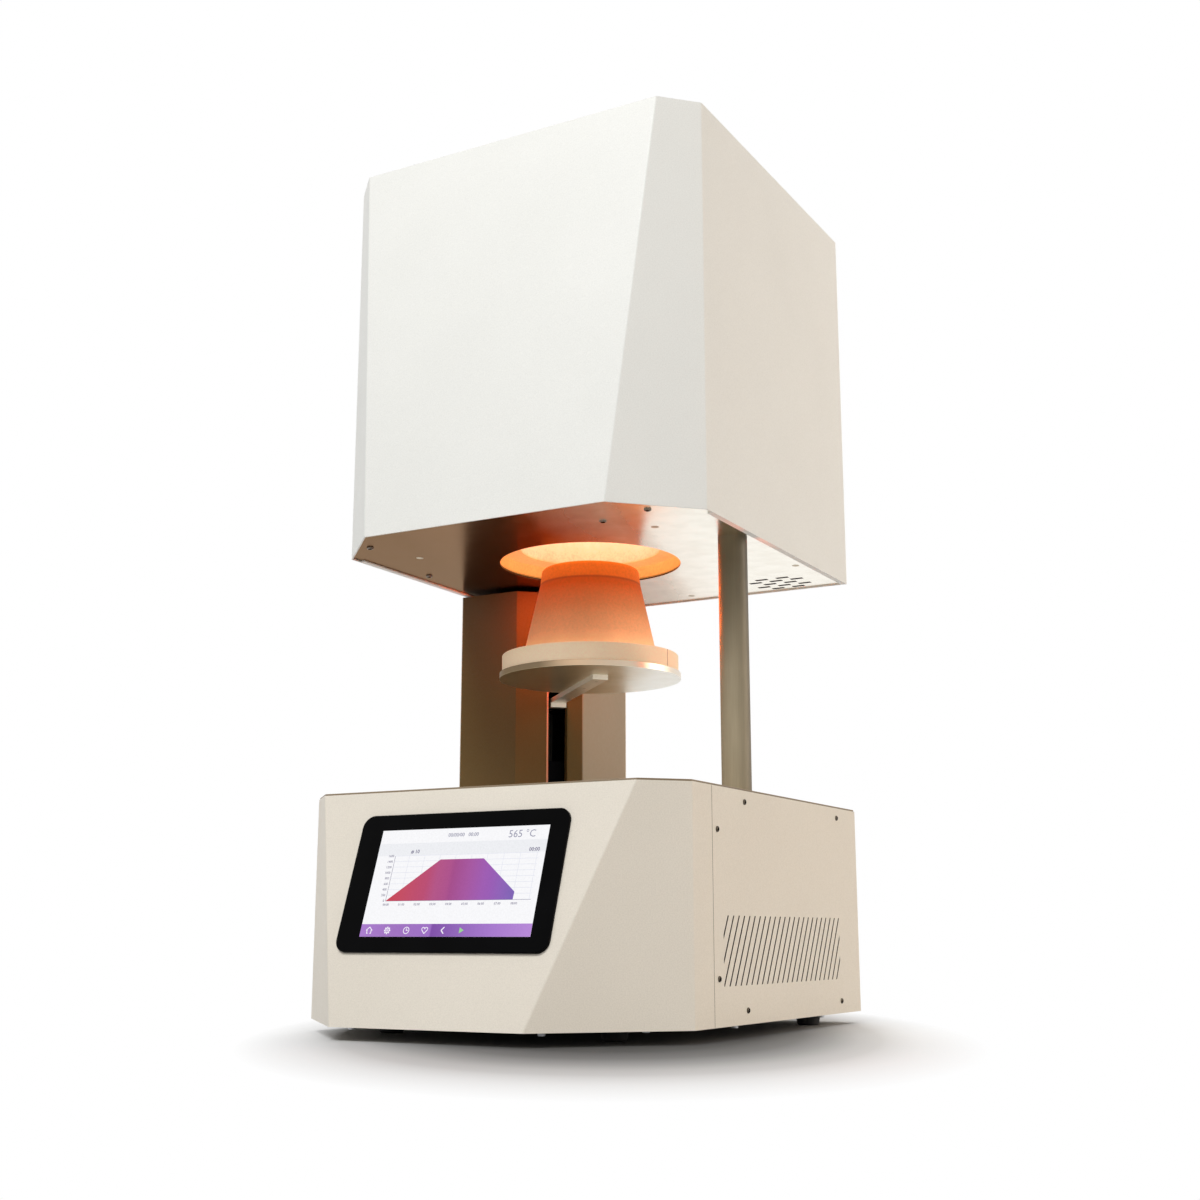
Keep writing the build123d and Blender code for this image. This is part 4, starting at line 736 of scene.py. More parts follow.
# %% Display glass
WEAK_REFLECTION = 0.04
glass, tree, shader = finish("display_glass", (0.01, 0.01, 0.012), 0.08)
smudges = noise(tree, coordinates(tree), 35.0, 4.0)
tree.links.new(spread(tree, smudges, 0.45, 0.75, 0.05, 0.2), shader.inputs["Roughness"])
touched = ramp(tree, smudges, [(0.4, (0.008, 0.008, 0.01)), (0.8, (0.02, 0.02, 0.024))])
tree.links.new(touched, shader.inputs["Base Color"])
shader.inputs["Specular IOR Level"].default_value = WEAK_REFLECTION
relief(tree, shader, noise(tree, coordinates(tree), 18.0, 1.0), 0.00001, 0.2)
wear(glass, "display_glass")
print("materials so far:", len(bpy.data.materials))

# %% [markdown]
# ## Building pieces
# A new piece starts as an empty bmesh, gets its shape from operators, and becomes an object at the
# origin, so its place is in its mesh. Every piece rides on a body: what is fixed rides on the
# furnace, what moves rides on its own body.

# %% Helpers for new pieces
MM = 0.001


def baked(name, shape):
    """Mesh from a finished bmesh, which is then freed."""
    mesh = bpy.data.meshes.new(name)
    shape.to_mesh(mesh)
    shape.free()
    return mesh


def make_piece(name, shape, *finishes, body="furnace"):
    """Object from a finished bmesh, with its finishes, riding on a body."""
    bmesh.ops.recalc_face_normals(shape, faces=shape.faces)
    mesh = baked(name, shape)
    for material in finishes:
        mesh.materials.append(material)
    piece = put(name, mesh)
    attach(piece, body)
    return piece


def add_films(shape, outlines, height, thickness):
    """Flat prisms with the given outlines, added to a bmesh; their vertices are returned."""
    before = len(shape.verts)
    for outline in outlines:
        face = shape.faces.new([shape.verts.new((x, y, height)) for x, y in outline])
        lifted = bmesh.ops.extrude_face_region(shape, geom=[face])
        tops = [item for item in lifted["geom"] if isinstance(item, bmesh.types.BMVert)]
        bmesh.ops.translate(shape, verts=tops, vec=(0, 0, thickness))
    shape.verts.ensure_lookup_table()
    return shape.verts[before:]


# %% [markdown]
# ## The picture on the display
# The lit picture is a set of thin coloured films on the glass. Its places are measured in
# millimetres from the middle of the screen, across and up the slope, and one matrix carries them
# onto the leaning glass. A lit pixel gives its own light, so each film is mostly emission.

# %% Screen frame and films
SCREEN_LEAN = radians(18.4)
FILM = 0.08
glass_low, glass_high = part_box("display_glass")
across = Vector((1, 0, 0))
upward = Vector((0, sin(SCREEN_LEAN), cos(SCREEN_LEAN)))
outward = Vector((0, -cos(SCREEN_LEAN), sin(SCREEN_LEAN)))
glass_middle = (Vector(glass_low) + Vector(glass_high)) / 2
glass_corners = nodes["display_glass"].data.vertices
glass_front = max((corner.co - glass_middle).dot(outward) for corner in glass_corners)
screen_centre = glass_middle + outward * glass_front
leaning = Matrix((across, upward, outward)).transposed().to_4x4()
to_screen = Matrix.Translation(screen_centre) @ leaning @ Matrix.Scale(MM, 4)


def lit(name, color, start=0.0, end=1.0):
    """Light of a film: one colour, or stops blended across the picture in millimetres."""
    material, tree, shader = finish(name, BLACK, 0.3)
    place = coordinates(tree)
    pixels = mottle(tree, place, 900.0, 2.0, gray(0.97))
    if isinstance(color, list):
        along = spread(tree, axis_value(tree, place, "X"), start * MM, end * MM)
        color = ramp(tree, along, color)
    tree.links.new(tinted(tree, pixels, color), shader.inputs["Emission Color"])
    shader.inputs["Emission Strength"].default_value = 1.0
    shader.inputs["Specular IOR Level"].default_value = WEAK_REFLECTION
    return material


def film(name, material, outlines, level):
    """Flat films with given outlines (mm), some layers above the glass."""
    shape = bmesh.new()
    add_films(shape, outlines, level * FILM, FILM)
    bmesh.ops.transform(shape, matrix=to_screen, verts=shape.verts)
    piece = make_piece(name, shape, material)
    return piece


def bar(left, bottom, right, top):
    """Outline of an upright rectangle."""
    return [(left, bottom), (right, bottom), (right, top), (left, top)]


print("screen centre", [round(c, 4) for c in screen_centre])

# %% [markdown]
# ## Colours of the picture
# Each kind of film has a light of its own. The toolbar's violet and the firing curve's red and
# violet change across the picture, so these two have a ramp along X, with its stops written from
# the left edge to the right one. All the others have one colour.

# %% Colours of the picture
PAGE_LEFT, PAGE_BOTTOM, PAGE_RIGHT, PAGE_TOP = -73.3, -43.4, 79.2, 42.1
GRAPH_LEFT, GRAPH_BOTTOM, GRAPH_RIGHT, GRAPH_TOP = -56.0, -15.4, 74.0, 20.8
CURVE_END, CURVE_TOP = 58.8, 17.0
TOOLBAR_COLOR = [
    (0.0, (0.68, 0.50, 0.82)),
    (0.2, (0.64, 0.46, 0.77)),
    (0.42, (0.63, 0.45, 0.78)),
    (0.43, (0.51, 0.32, 0.67)),
    (0.56, (0.57, 0.40, 0.73)),
    (0.78, (0.667, 0.486, 0.82)),
    (1.0, (0.73, 0.55, 0.86)),
]
CURVE_COLOR = [
    (0.0, (0.80, 0.27, 0.33)),
    (0.125, (0.78, 0.31, 0.40)),
    (0.3, (0.74, 0.31, 0.46)),
    (0.375, (0.714, 0.34, 0.537)),
    (0.47, (0.69, 0.33, 0.56)),
    (0.5, (0.655, 0.31, 0.557)),
    (0.625, (0.66, 0.35, 0.64)),
    (0.75, (0.63, 0.37, 0.71)),
    (0.81, (0.61, 0.37, 0.72)),
    (0.875, (0.58, 0.39, 0.73)),
    (1.0, (0.50, 0.40, 0.72)),
]
screen_white = lit("screen_white", (0.985, 0.985, 0.995))
screen_header = lit("screen_header", (0.945, 0.95, 0.965))
screen_grid = lit("screen_grid", (0.89, 0.90, 0.945))
screen_text = lit("screen_text", (0.46, 0.44, 0.56))
screen_pale_text = lit("screen_pale_text", (0.62, 0.62, 0.70))
screen_bar = lit("screen_bar", TOOLBAR_COLOR, PAGE_LEFT, PAGE_RIGHT)
screen_icon = lit("screen_icon", (0.97, 0.95, 1.0))
screen_play = lit("screen_play", (0.62, 0.85, 0.60))
screen_curve = lit("screen_curve", CURVE_COLOR, GRAPH_LEFT, CURVE_END)
print("picture spans", PAGE_RIGHT - PAGE_LEFT, "x", PAGE_TOP - PAGE_BOTTOM, "mm")

# %% [markdown]
# ## Page, toolbar and graph
# The page is white with a pale header band and a toolbar along the bottom. The firing curve is one
# flat shape: it climbs, holds and falls. Fine grid lines and two axes lie under and round it, and
# the curve stands one level above them, so that the two do not flicker through each other.

# %% Page, toolbar and graph
HEADER_BOTTOM, HEADER_TOP = 21.0, 31.0
TOOLBAR_TOP = -33.6
LEVEL_STEP, HOUR_STEP = 4.5, 14.4
page = bar(PAGE_LEFT, PAGE_BOTTOM, PAGE_RIGHT, PAGE_TOP)
header = bar(PAGE_LEFT, HEADER_BOTTOM, PAGE_RIGHT, HEADER_TOP)
toolbar = bar(PAGE_LEFT, PAGE_BOTTOM, PAGE_RIGHT, TOOLBAR_TOP)
curve = [(GRAPH_LEFT, GRAPH_BOTTOM), (-12.9, CURVE_TOP), (26.3, CURVE_TOP)]
curve += [(CURVE_END, -9.4), (58.5, GRAPH_BOTTOM)]
lines = []
for row in range(9):
    y = GRAPH_BOTTOM + LEVEL_STEP * row
    lines.append(bar(GRAPH_LEFT, y, GRAPH_RIGHT, y + 0.3))
for column in range(9):
    x = -42.9 + HOUR_STEP * column
    lines.append(bar(x, GRAPH_BOTTOM, x + 0.3, GRAPH_TOP))
upright_axis = bar(-56.3, -15.5, GRAPH_LEFT, GRAPH_TOP)
level_axis = bar(-56.3, -15.6, GRAPH_RIGHT, -15.3)
film("screen_page", screen_white, [page], 0)
film("screen_header_band", screen_header, [header], 1)
film("screen_toolbar", screen_bar, [toolbar], 1)
film("screen_graph", screen_curve, [curve], 2)
film("screen_gridlines", screen_grid, lines, 1)
film("screen_axes", screen_text, [upright_axis, level_axis], 1)
print("grid lines:", len(lines))

# %% [markdown]
# ## Digits
# The temperature, the clock and the scales are digits from Blender's own font. A text object is
# made, turned into a mesh and laid on the glass like the other films, one layer above them.

# %% Digits on the display
DIGIT_LEVEL = 3
SEMI_BOLD = 0.06


def words(name, text, size, place, material, align="CENTER", bold=0.0):
    """Digits as thin films, made from Blender's own font."""
    line = bpy.data.curves.new(name, "FONT")
    line.body = text
    line.size = size
    line.align_x = align
    line.resolution_u = 2
    line.extrude = FILM / 2
    line.offset = bold
    stand_in = bpy.data.objects.new(name, line)
    shape = bmesh.new()
    shape.from_mesh(bpy.data.meshes.new_from_object(stand_in))
    bmesh.ops.remove_doubles(shape, verts=shape.verts, dist=0.0001)
    bmesh.ops.translate(shape, verts=shape.verts, vec=(*place, DIGIT_LEVEL * FILM))
    bmesh.ops.transform(shape, matrix=to_screen, verts=shape.verts)
    bpy.data.objects.remove(stand_in)
    piece = make_piece(name, shape, material)
    return piece


words("screen_temperature", "565 °C", 8.4, (56.3, 33.0), screen_pale_text)
words("screen_program", "# 10", 4.2, (-38.0, 22.6), screen_text, bold=SEMI_BOLD)
words("screen_clock", "00:00", 4.2, (69.5, 21.8), screen_text, bold=SEMI_BOLD)
words("screen_date", "00/00/00   00:00", 4.2, (3.5, 35.2), screen_pale_text, bold=SEMI_BOLD)
for index in range(9):
    level_place = (-57.4, -16.1 + LEVEL_STEP * index)
    hour_place = (-55.0 + HOUR_STEP * index, -19.2)
    words(f"screen_level_{index}", str(200 * index), 2.7, level_place, screen_text, "RIGHT")
    words(f"screen_hour_{index}", f"{index:02d}:00", 2.6, hour_place, screen_text)

# %% [markdown]
# ## Drawing signs
# Signs on a toolbar are drawn with strokes, arcs and rings. Each helper gives flat outlines, so
# that a sign stays sharp at any size, and the ends of a sign's strokes are measured from its own
# middle.


# %% Helpers for signs
def arc(x, y, radius, start=0.0, end=360.0, steps=20):
    """Points along a circle, in degrees."""
    angles = [radians(start + (end - start) * i / steps) for i in range(steps)]
    return [(x + radius * cos(angle), y + radius * sin(angle)) for angle in angles]


def ring_parts(x, y, outer, inner, steps=20):
    """Quads of a flat ring."""
    far = arc(x, y, outer, steps=steps)
    near = arc(x, y, inner, steps=steps)
    ends = [(i, (i + 1) % steps) for i in range(steps)]
    return [[far[i], far[j], near[j], near[i]] for i, j in ends]


def stroke(x0, y0, x1, y1, width):
    """Outline of a straight stroke."""
    length = sqrt((x1 - x0) ** 2 + (y1 - y0) ** 2)
    dx, dy = (x1 - x0) / length * width / 2, (y1 - y0) / length * width / 2
    return [(x0 + dy, y0 - dx), (x1 + dy, y1 - dx), (x1 - dy, y1 + dx), (x0 - dy, y0 + dx)]


SIGN_Y = -38.6
LINE = 0.65


def strokes(x, ends, width=LINE):
    """Strokes of a sign; the ends of each are measured from the sign's middle."""
    return [
        stroke(x + x0, SIGN_Y + y0, x + x1, SIGN_Y + y1, width) for x0, y0, x1, y1 in ends
    ]


print("signs stand at", SIGN_Y, "mm")

# %% [markdown]
# ## Toolbar signs
# Six plain signs stand on the toolbar: house, gear, clock, heart, back and run. The first five are
# white and share one piece. The run sign is a green triangle.

# %% Toolbar signs
HOUSE_X, GEAR_X, CLOCK_X, HEART_X, BACK_X, RUN_X = -65.2, -48.3, -30.7, -14.0, 1.0, 17.2
roof = [(-2.9, 0, 0, 2.7), (0, 2.7, 2.9, 0)]
walls = [(-1.9, 0.4, -1.9, -2.4), (1.9, -2.4, 1.9, 0.4)]
sills = [(-2.2, -2.2, -0.9, -2.2), (0.9, -2.2, 2.2, -2.2)]
house = strokes(HOUSE_X, roof + walls + sills)
gear = ring_parts(GEAR_X, SIGN_Y, 2.2, 1.5) + ring_parts(GEAR_X, SIGN_Y, 0.9, 0.4, 12)
for tooth in range(8):
    dx, dy = cos(radians(45 * tooth)), sin(radians(45 * tooth))
    gear += strokes(GEAR_X, [(2.1 * dx, 2.1 * dy, 2.9 * dx, 2.9 * dy)], 1.0)
clock = ring_parts(CLOCK_X, SIGN_Y, 2.8, 2.2)
clock += strokes(CLOCK_X, [(0, 0, 0, 1.6), (-0.2, 0, 1.4, 0)])
heart = strokes(HEART_X, [(-2.7, 0.6, 0, -2.5), (0, -2.5, 2.7, 0.6)])
for lobe in (-1, 1):
    lobe_x = HEART_X + lobe * 1.35
    far, near = [arc(lobe_x, SIGN_Y + 0.9, radius, 0, 200, 10) for radius in (1.7, 1.1)]
    heart += [[far[i], far[i + 1], near[i + 1], near[i]] for i in range(9)]
back = strokes(BACK_X, [(2.4, 2.5, 0, 0), (0, 0, 2.4, -2.5)], 0.9)
run = [(RUN_X, SIGN_Y - 2.3), (21.0, SIGN_Y), (RUN_X, SIGN_Y + 2.3)]
film("screen_signs", screen_icon, house + gear + clock + heart + back, 2)
film("screen_run", screen_play, [run], 2)

# %% [markdown]
# ## Screw head
# The covers are held by button-head screws with a hexagon socket. One head is modelled: a short
# cylinder whose rim is bevelled into a dome, a hexagon bridged to the top ring, and the hexagon's
# edges pulled down into a socket. The screws of the head's plate are one size larger, so the same
# steps make them a head of their own, whose dome gets a duller steel.


# %% Screw head
def socket_head(radius, height, socket):
    """Mesh of a button head that stands on the origin and points up; material 1 is its socket."""
    head = bmesh.new()
    bmesh.ops.create_cone(
        head, cap_ends=True, segments=24, radius1=radius, radius2=radius, depth=height
    )
    bmesh.ops.translate(head, verts=head.verts, vec=(0, 0, height / 2))
    rim = [edge for edge in head.edges if all(v.co.z > height * 0.99 for v in edge.verts)]
    bmesh.ops.bevel(
        head, geom=rim, affect="EDGES", offset=height * 0.7, segments=4, profile=0.5, material=-1
    )
    top = max(head.faces, key=lambda face: face.calc_center_median().z)
    bmesh.ops.delete(head, geom=[top], context="FACES_ONLY")
    rim = [edge for edge in head.edges if edge.is_boundary]
    raised = Matrix.Translation((0, 0, height))
    hexagon = bmesh.ops.create_circle(head, segments=6, radius=socket, matrix=raised)
    sides = list({edge for vert in hexagon["verts"] for edge in vert.link_edges})
    bmesh.ops.bridge_loops(head, edges=rim + sides)
    walls = bmesh.ops.extrude_edge_only(head, edges=sides)["geom"]
    deep = [item for item in walls if isinstance(item, bmesh.types.BMVert)]
    bmesh.ops.translate(head, verts=deep, vec=(0, 0, -height * 0.5))
    floor_edges = [e for e in head.edges if e.is_boundary and e.verts[0] in deep]
    bottom = bmesh.ops.edgeloop_fill(head, edges=floor_edges)["faces"]
    for face in bottom + [item for item in walls if isinstance(item, bmesh.types.BMFace)]:
        face.material_index = 1
    bmesh.ops.edgeloop_fill(head, edges=[e for e in head.edges if e.is_boundary])
    bmesh.ops.recalc_face_normals(head, faces=head.faces)
    return baked("screw_head", head)


cover_head = socket_head(0.0023, 0.0012, 0.0017)
plate_head = socket_head(0.0030, 0.0015, 0.0021)
for face in plate_head.polygons:
    face.material_index = 1 if face.material_index == 1 else 2
print("faces of one screw head:", len(cover_head.polygons))

# %% [markdown]
# ## Places of the screws
# A head is copied to every place, outward face up: six on each side of the base, four round the
# fan, two at the mains inlet and four under the head's plate. Screws are tightened by hand, so no
# two sockets stand alike, and each copy is turned by its own place's number.


# %% Places of the screws
def copies(source, places, shape=None):
    """Bmesh with one copy of a mesh at each matrix, added to a shape or on its own."""
    if shape is None:
        shape = bmesh.new()
    for place in places:
        before = len(shape.verts)
        shape.from_mesh(source)
        shape.verts.ensure_lookup_table()
        bmesh.ops.transform(shape, matrix=place, verts=shape.verts[before:])
    return shape


def facing(x, y, z, direction, spin=0.0):
    """Matrix at a point in millimetres whose Z axis looks along a direction."""
    turn = Vector(direction).to_track_quat("Z", "Y").to_matrix().to_4x4()
    return Matrix.Translation(Vector((x, y, z)) * MM) @ turn @ Matrix.Rotation(spin, 4, "Z")


SIDE_FACE, REAR_FACE, PLATE_FACE = 175.0, 216.4, 405.2
SIDE_SCREWS = [
    (-86.2, 45.0),
    (-86.2, 155.5),
    (-34.9, 179.4),
    (166.9, 179.4),
    (-34.9, 20.4),
    (166.9, 20.4),
]
PLATE_SCREWS = [(-136.0, -119.1), (-155.0, -4.1), (84.0, -100.1), (132.0, -114.1)]
FAN_X, FAN_Z, FAN_SCREW = 100.0, 102.0, 35.75
INLET_X, INLET_Z, INLET_SCREW = -20.0, 70.0, 22.0
places = [
    facing(side * SIDE_FACE, y, z, (side, 0, 0), spin=y) for side in (-1, 1) for y, z in SIDE_SCREWS
]
for a in (-1, 1):
    for b in (-1, 1):
        x, z = FAN_X + a * FAN_SCREW, FAN_Z + b * FAN_SCREW
        places.append(facing(x, REAR_FACE, z, (0, 1, 0), spin=a))
for a in (-1, 1):
    places.append(facing(INLET_X + a * INLET_SCREW, REAR_FACE, INLET_Z, (0, 1, 0), spin=a))
plate_places = [facing(x, y, PLATE_FACE, (0, 0, -1), spin=x) for x, y in PLATE_SCREWS]
screw_shape = copies(plate_head, plate_places, copies(cover_head, places))
socket_screws = make_piece(
    "socket_screws", screw_shape, dark_screw, socket_shadow, plate_screw_steel
)
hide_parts("cover_screws")
print("socket screws:", len(places) + len(plate_places))

# %% [markdown]
# ## Spot welds
# Four places on the head's plate have no screw from below: the sheet is fixed there by a weld,
# which shows only as a faint flat mark. A very low cone is enough for each.

# %% Weld marks on the head's plate
WELD_MARKS = [(111.7, -61.7), (-120.9, -66.5), (160.0, 123.9), (20.0, 195.9)]
shape = bmesh.new()
bmesh.ops.create_cone(
    shape, cap_ends=True, segments=24, radius1=0.0034, radius2=0.0030, depth=0.0002
)
bmesh.ops.translate(shape, verts=shape.verts, vec=(0, 0, 0.0001))
mark = baked("weld_mark", shape)
mark_places = [facing(x, y, PLATE_FACE, (0, 0, -1)) for x, y in WELD_MARKS]
weld_marks = make_piece("weld_marks", copies(mark, mark_places), weld_tint)
print("weld marks:", len(WELD_MARKS))

# %% [markdown]
# ## Joint lines
# Where two sheets or two blocks meet, a hair-wide dark joint shows: the base's front sheet against
# its side panels, and the two halves of the plug's disc. Each is a slim bar that stands proud of
# the surface by less than the thickness of paint. Cutting a real groove would not look different.

# %% Joint lines
joint_dark = moulded("joint_shadow", (0.30, 0.25, 0.19), 0.9)
fibre_joint = moulded("fibre_joint", (0.42, 0.31, 0.20), 0.9)
JOINT_DEPTH = 0.12
SEAM_Y = -94.9
SEAM_LOW, SEAM_HIGH, SEAM_WIDTH = 10.4, 187.9, 0.45
DISC_LOW, DISC_HIGH, DISC_JOINT_WIDTH = 304.3, 319.7, 0.5
DISC_JOINT_ANGLES = (-2, 178)


def slim_bars(name, material, bars, body="furnace"):
    """Upright bars; each is (x, y, low, high, width, depth, turn), in millimetres and radians."""
    shape = bmesh.new()
    for x, y, low, high, width, depth, turn in bars:
        made = bmesh.ops.create_cube(shape, size=1.0)["verts"]
        bmesh.ops.scale(shape, verts=made, vec=(depth * MM, width * MM, (high - low) * MM))
        bmesh.ops.rotate(shape, verts=made, matrix=Matrix.Rotation(turn, 3, "Z"))
        bmesh.ops.translate(shape, verts=made, vec=Vector((x, y, (low + high) / 2)) * MM)
    return make_piece(name, shape, material, body=body)


seam_bars = [
    (side * SIDE_FACE, SEAM_Y, SEAM_LOW, SEAM_HIGH, SEAM_WIDTH, JOINT_DEPTH, 0.0)
    for side in (-1, 1)
]
seams = slim_bars("base_seams", joint_dark, seam_bars)
disc_low, disc_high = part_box("plug_disc")
disc_radius = (disc_high[0] - disc_low[0]) / 2 / MM
disc_bars = []
for turn in [radians(angle) for angle in DISC_JOINT_ANGLES]:
    x, y = mouth_x / MM + disc_radius * cos(turn), mouth_y / MM + disc_radius * sin(turn)
    disc_bars.append((x, y, DISC_LOW, DISC_HIGH, DISC_JOINT_WIDTH, JOINT_DEPTH, turn))
disc_joints = slim_bars("disc_joints", fibre_joint, disc_bars, "lift")
print("joint lines:", len(seam_bars) + len(disc_bars))

# %% [markdown]
# ## Painted shade round the vents
# Hot air leaves through the short slots beside the post. From below, their shade is what makes
# the slots readable against the bright plate, so a thin dark frame of painted shade lies round
# each slot, four bars to a frame, in five rows that are set off by half a pitch.

# %% Painted shade frames
vent_shade = moulded("vent_shade_paint", (0.24, 0.18, 0.14), 0.9)
VENT_MIDDLE = (119.6, 184.3)
VENT_PITCH, ROW_PITCH = 20.8, 10.2
SHADE_LOW, SHADE_HIGH = 405.1, 405.25
rims = []
for row in range(5):
    for column in range(2 + row % 2):
        x = VENT_MIDDLE[0] + VENT_PITCH * (column - (1 + row % 2) / 2)
        y = VENT_MIDDLE[1] + ROW_PITCH * (row - 2)
        rims += [(x, y + side * 1.6, SHADE_LOW, SHADE_HIGH, 1.2, 12.2, 0.0) for side in (-1, 1)]
        rims += [(x + side * 5.55, y, SHADE_LOW, SHADE_HIGH, 2.0, 1.1, 0.0) for side in (-1, 1)]
vent_rims = slim_bars("vent_rims", vent_shade, rims)
print("soot frames:", len(rims) // 4)

# %% [markdown]
# ## Lip under the arm
# Where the arm comes out of the column's slot, its end is folded down into a short lip. It is one
# small block, turned square to the slot, and it rides on the lift with the arm.

# %% Arm lip
LIP_PLACE = (-83.5, 111.4)
LIP_LOW, LIP_HIGH, LIP_WIDTH, LIP_DEPTH = 290.0, 294.45, 15.0, 11.0
LIP_TURN = radians(135)
lip_bar = (*LIP_PLACE, LIP_LOW, LIP_HIGH, LIP_WIDTH, LIP_DEPTH, LIP_TURN)
arm_lip = slim_bars("arm_lip", arm_steel, [lip_bar], "lift")
print("lip size", LIP_WIDTH, "x", LIP_DEPTH, "mm")

# %% [markdown]
# ## Thread of the lead screw
# The screw behind the slot has four thread starts and climbs 10 mm at each turn. Spin turns a
# profile and moves it along the axis at the same time, which is exactly a thread: four teeth side
# by side are 10 mm long, so each turn lands where the last one began.

# %% Threaded lead screw
LEAD, STARTS, STEPS = 10.0, 4, 24
CREST, ROOT = 5.9, 4.9
TOOTH = [(ROOT, 0.0), (CREST, 0.75), (CREST, 1.35), (ROOT, 2.1)]
THREAD_LOW, THREAD_HIGH = 182.0, 436.0
turns = int((THREAD_HIGH - THREAD_LOW) / LEAD) + 3
profile = []
for tooth in range(STARTS):
    foot = THREAD_LOW - 2 * LEAD + tooth * LEAD / STARTS
    profile += [(radius, foot + rise) for radius, rise in TOOTH]
profile.append((ROOT, THREAD_LOW - LEAD))
shape = bmesh.new()
corners = [shape.verts.new((radius * MM, 0, z * MM)) for radius, z in profile]
ridge = [shape.edges.new(pair) for pair in zip(corners, corners[1:])]
bmesh.ops.spin(
    shape,
    geom=corners + ridge,
    cent=(0, 0, 0),
    axis=(0, 0, 1),
    dvec=(0, 0, LEAD * MM / STEPS),
    angle=2 * pi * turns,
    steps=STEPS * turns,
)
bmesh.ops.remove_doubles(shape, verts=shape.verts, dist=0.00001)
print("turns of thread:", turns)

# %% [markdown]
# ## Ends of the lead screw
# Spin leaves a ragged first and last turn. Two planes cut the thread square and the cuts are
# closed. Plain round ends run on from there to the bearings and the coupling. An edge that belongs
# to one face only would show a hole, so the open edges are counted.

# %% Ends of the lead screw
screw_low, screw_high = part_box("lead_screw")
screw_x, screw_y = (screw_low[0] + screw_high[0]) / 2, (screw_low[1] + screw_high[1]) / 2
for cut, way in ((THREAD_LOW * MM, -1), (THREAD_HIGH * MM, 1)):
    everything = shape.verts[:] + shape.edges[:] + shape.faces[:]
    bmesh.ops.bisect_plane(
        shape, geom=everything, plane_co=(0, 0, cut), plane_no=(0, 0, way), clear_outer=True
    )
    open_edges = [edge for edge in shape.edges if edge.is_boundary]
    rim = [e for e in open_edges if all(abs(v.co.z - cut) < 1e-6 for v in e.verts)]
    bmesh.ops.edgeloop_fill(shape, edges=rim)
for low, high in ((screw_low[2] / MM, THREAD_LOW), (THREAD_HIGH, screw_high[2] / MM)):
    end = bmesh.ops.create_cone(
        shape,
        cap_ends=True,
        segments=32,
        radius1=ROOT * MM,
        radius2=ROOT * MM,
        depth=(high - low) * MM,
    )
    bmesh.ops.translate(shape, verts=end["verts"], vec=(0, 0, (low + high) / 2 * MM))
bmesh.ops.translate(shape, verts=shape.verts, vec=(screw_x, screw_y, 0))
unclosed = sum(edge.is_boundary for edge in shape.edges)
thread = make_piece("threaded_screw", shape, shade_darkened_steel, body="screw")
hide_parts("lead_screw")
print("thread faces:", len(thread.data.polygons), "open edges:", unclosed)

# %% [markdown]
# ## Marks on the rocker
# A mains rocker carries a bar for on and a ring for off, printed in white. Both are thin films, set
# on the rocker where a ray from behind meets it, and they ride on the rocker when it tips.

# %% Rocker marks
MARK_OFFSET = 0.0048
SINK, PRINT = 0.02, 0.05
rocker = nodes["switch_rocker"]
rocker_low, rocker_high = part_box("switch_rocker")
rocker_x, rocker_z = (rocker_low[0] + rocker_high[0]) / 2, (rocker_low[2] + rocker_high[2]) / 2
white_print = moulded("white_print", gray(0.90), 0.5)
shape = bmesh.new()
for up, outlines in ((1, [bar(-0.4, -1.8, 0.4, 1.8)]), (-1, ring_parts(0, 0, 1.9, 1.3, 24))):
    start = Vector((rocker_x, rocker_high[1] + 0.02, rocker_z + up * MARK_OFFSET))
    found, spot, normal, _ = rocker.ray_cast(start, Vector((0, -1, 0)))
    sideways = Vector((-1, 0, 0))
    stand = Matrix((sideways, normal.cross(sideways), normal)).transposed().to_4x4()
    onto_rocker = Matrix.Translation(spot) @ stand @ Matrix.Scale(MM, 4)
    fresh = add_films(shape, outlines, SINK, PRINT)
    bmesh.ops.transform(shape, matrix=onto_rocker, verts=fresh)
    print("mark on the rocker:", found, [round(v, 4) for v in spot])
rocker_marks = make_piece("rocker_marks", shape, white_print, body="rocker")

# %% [markdown]
# ## The room
# The room gives pale light from all sides. To the camera, and in reflections, it is pure white, as
# the photograph's backdrop is, but the light that it casts on the furnace is much weaker. A Light
# Path node tells the two apart.


# %% Room
def seen_directly(tree):
    """1 where a camera, glossy or transmission ray looks, 0 for light on the object."""
    ray = tree.nodes.new("ShaderNodeLightPath")
    total = ray.outputs["Is Camera Ray"]
    for kind in ("Is Glossy Ray", "Is Transmission Ray"):
        total = reckon(tree, "MAXIMUM", total, ray.outputs[kind])
    return total


ROOM_STRENGTH = 0.22
world = bpy.data.worlds.new("studio")
world.use_nodes = True
tree = world.node_tree
room = tree.nodes["Background"]
room.inputs["Color"].default_value = (1, 1, 1, 1)
room.inputs["Strength"].default_value = ROOM_STRENGTH
backdrop = tree.nodes.new("ShaderNodeBackground")
backdrop.inputs["Color"].default_value = (1, 1, 1, 1)
choice = tree.nodes.new("ShaderNodeMixShader")
tree.links.new(seen_directly(tree), choice.inputs[0])
tree.links.new(room.outputs[0], choice.inputs[1])
tree.links.new(backdrop.outputs[0], choice.inputs[2])
tree.links.new(choice.outputs[0], tree.nodes["World Output"].inputs["Surface"])
bpy.context.scene.world = world
bpy.context.scene.view_settings.view_transform = "Standard"
print("room strength", ROOM_STRENGTH)

# %% [markdown]
# ## Soft boxes
# Three soft boxes light the furnace: a large one above the front, a warmer one from the right and
# one above the back. A large lamp gives soft edges to the shadows, as in a product studio.


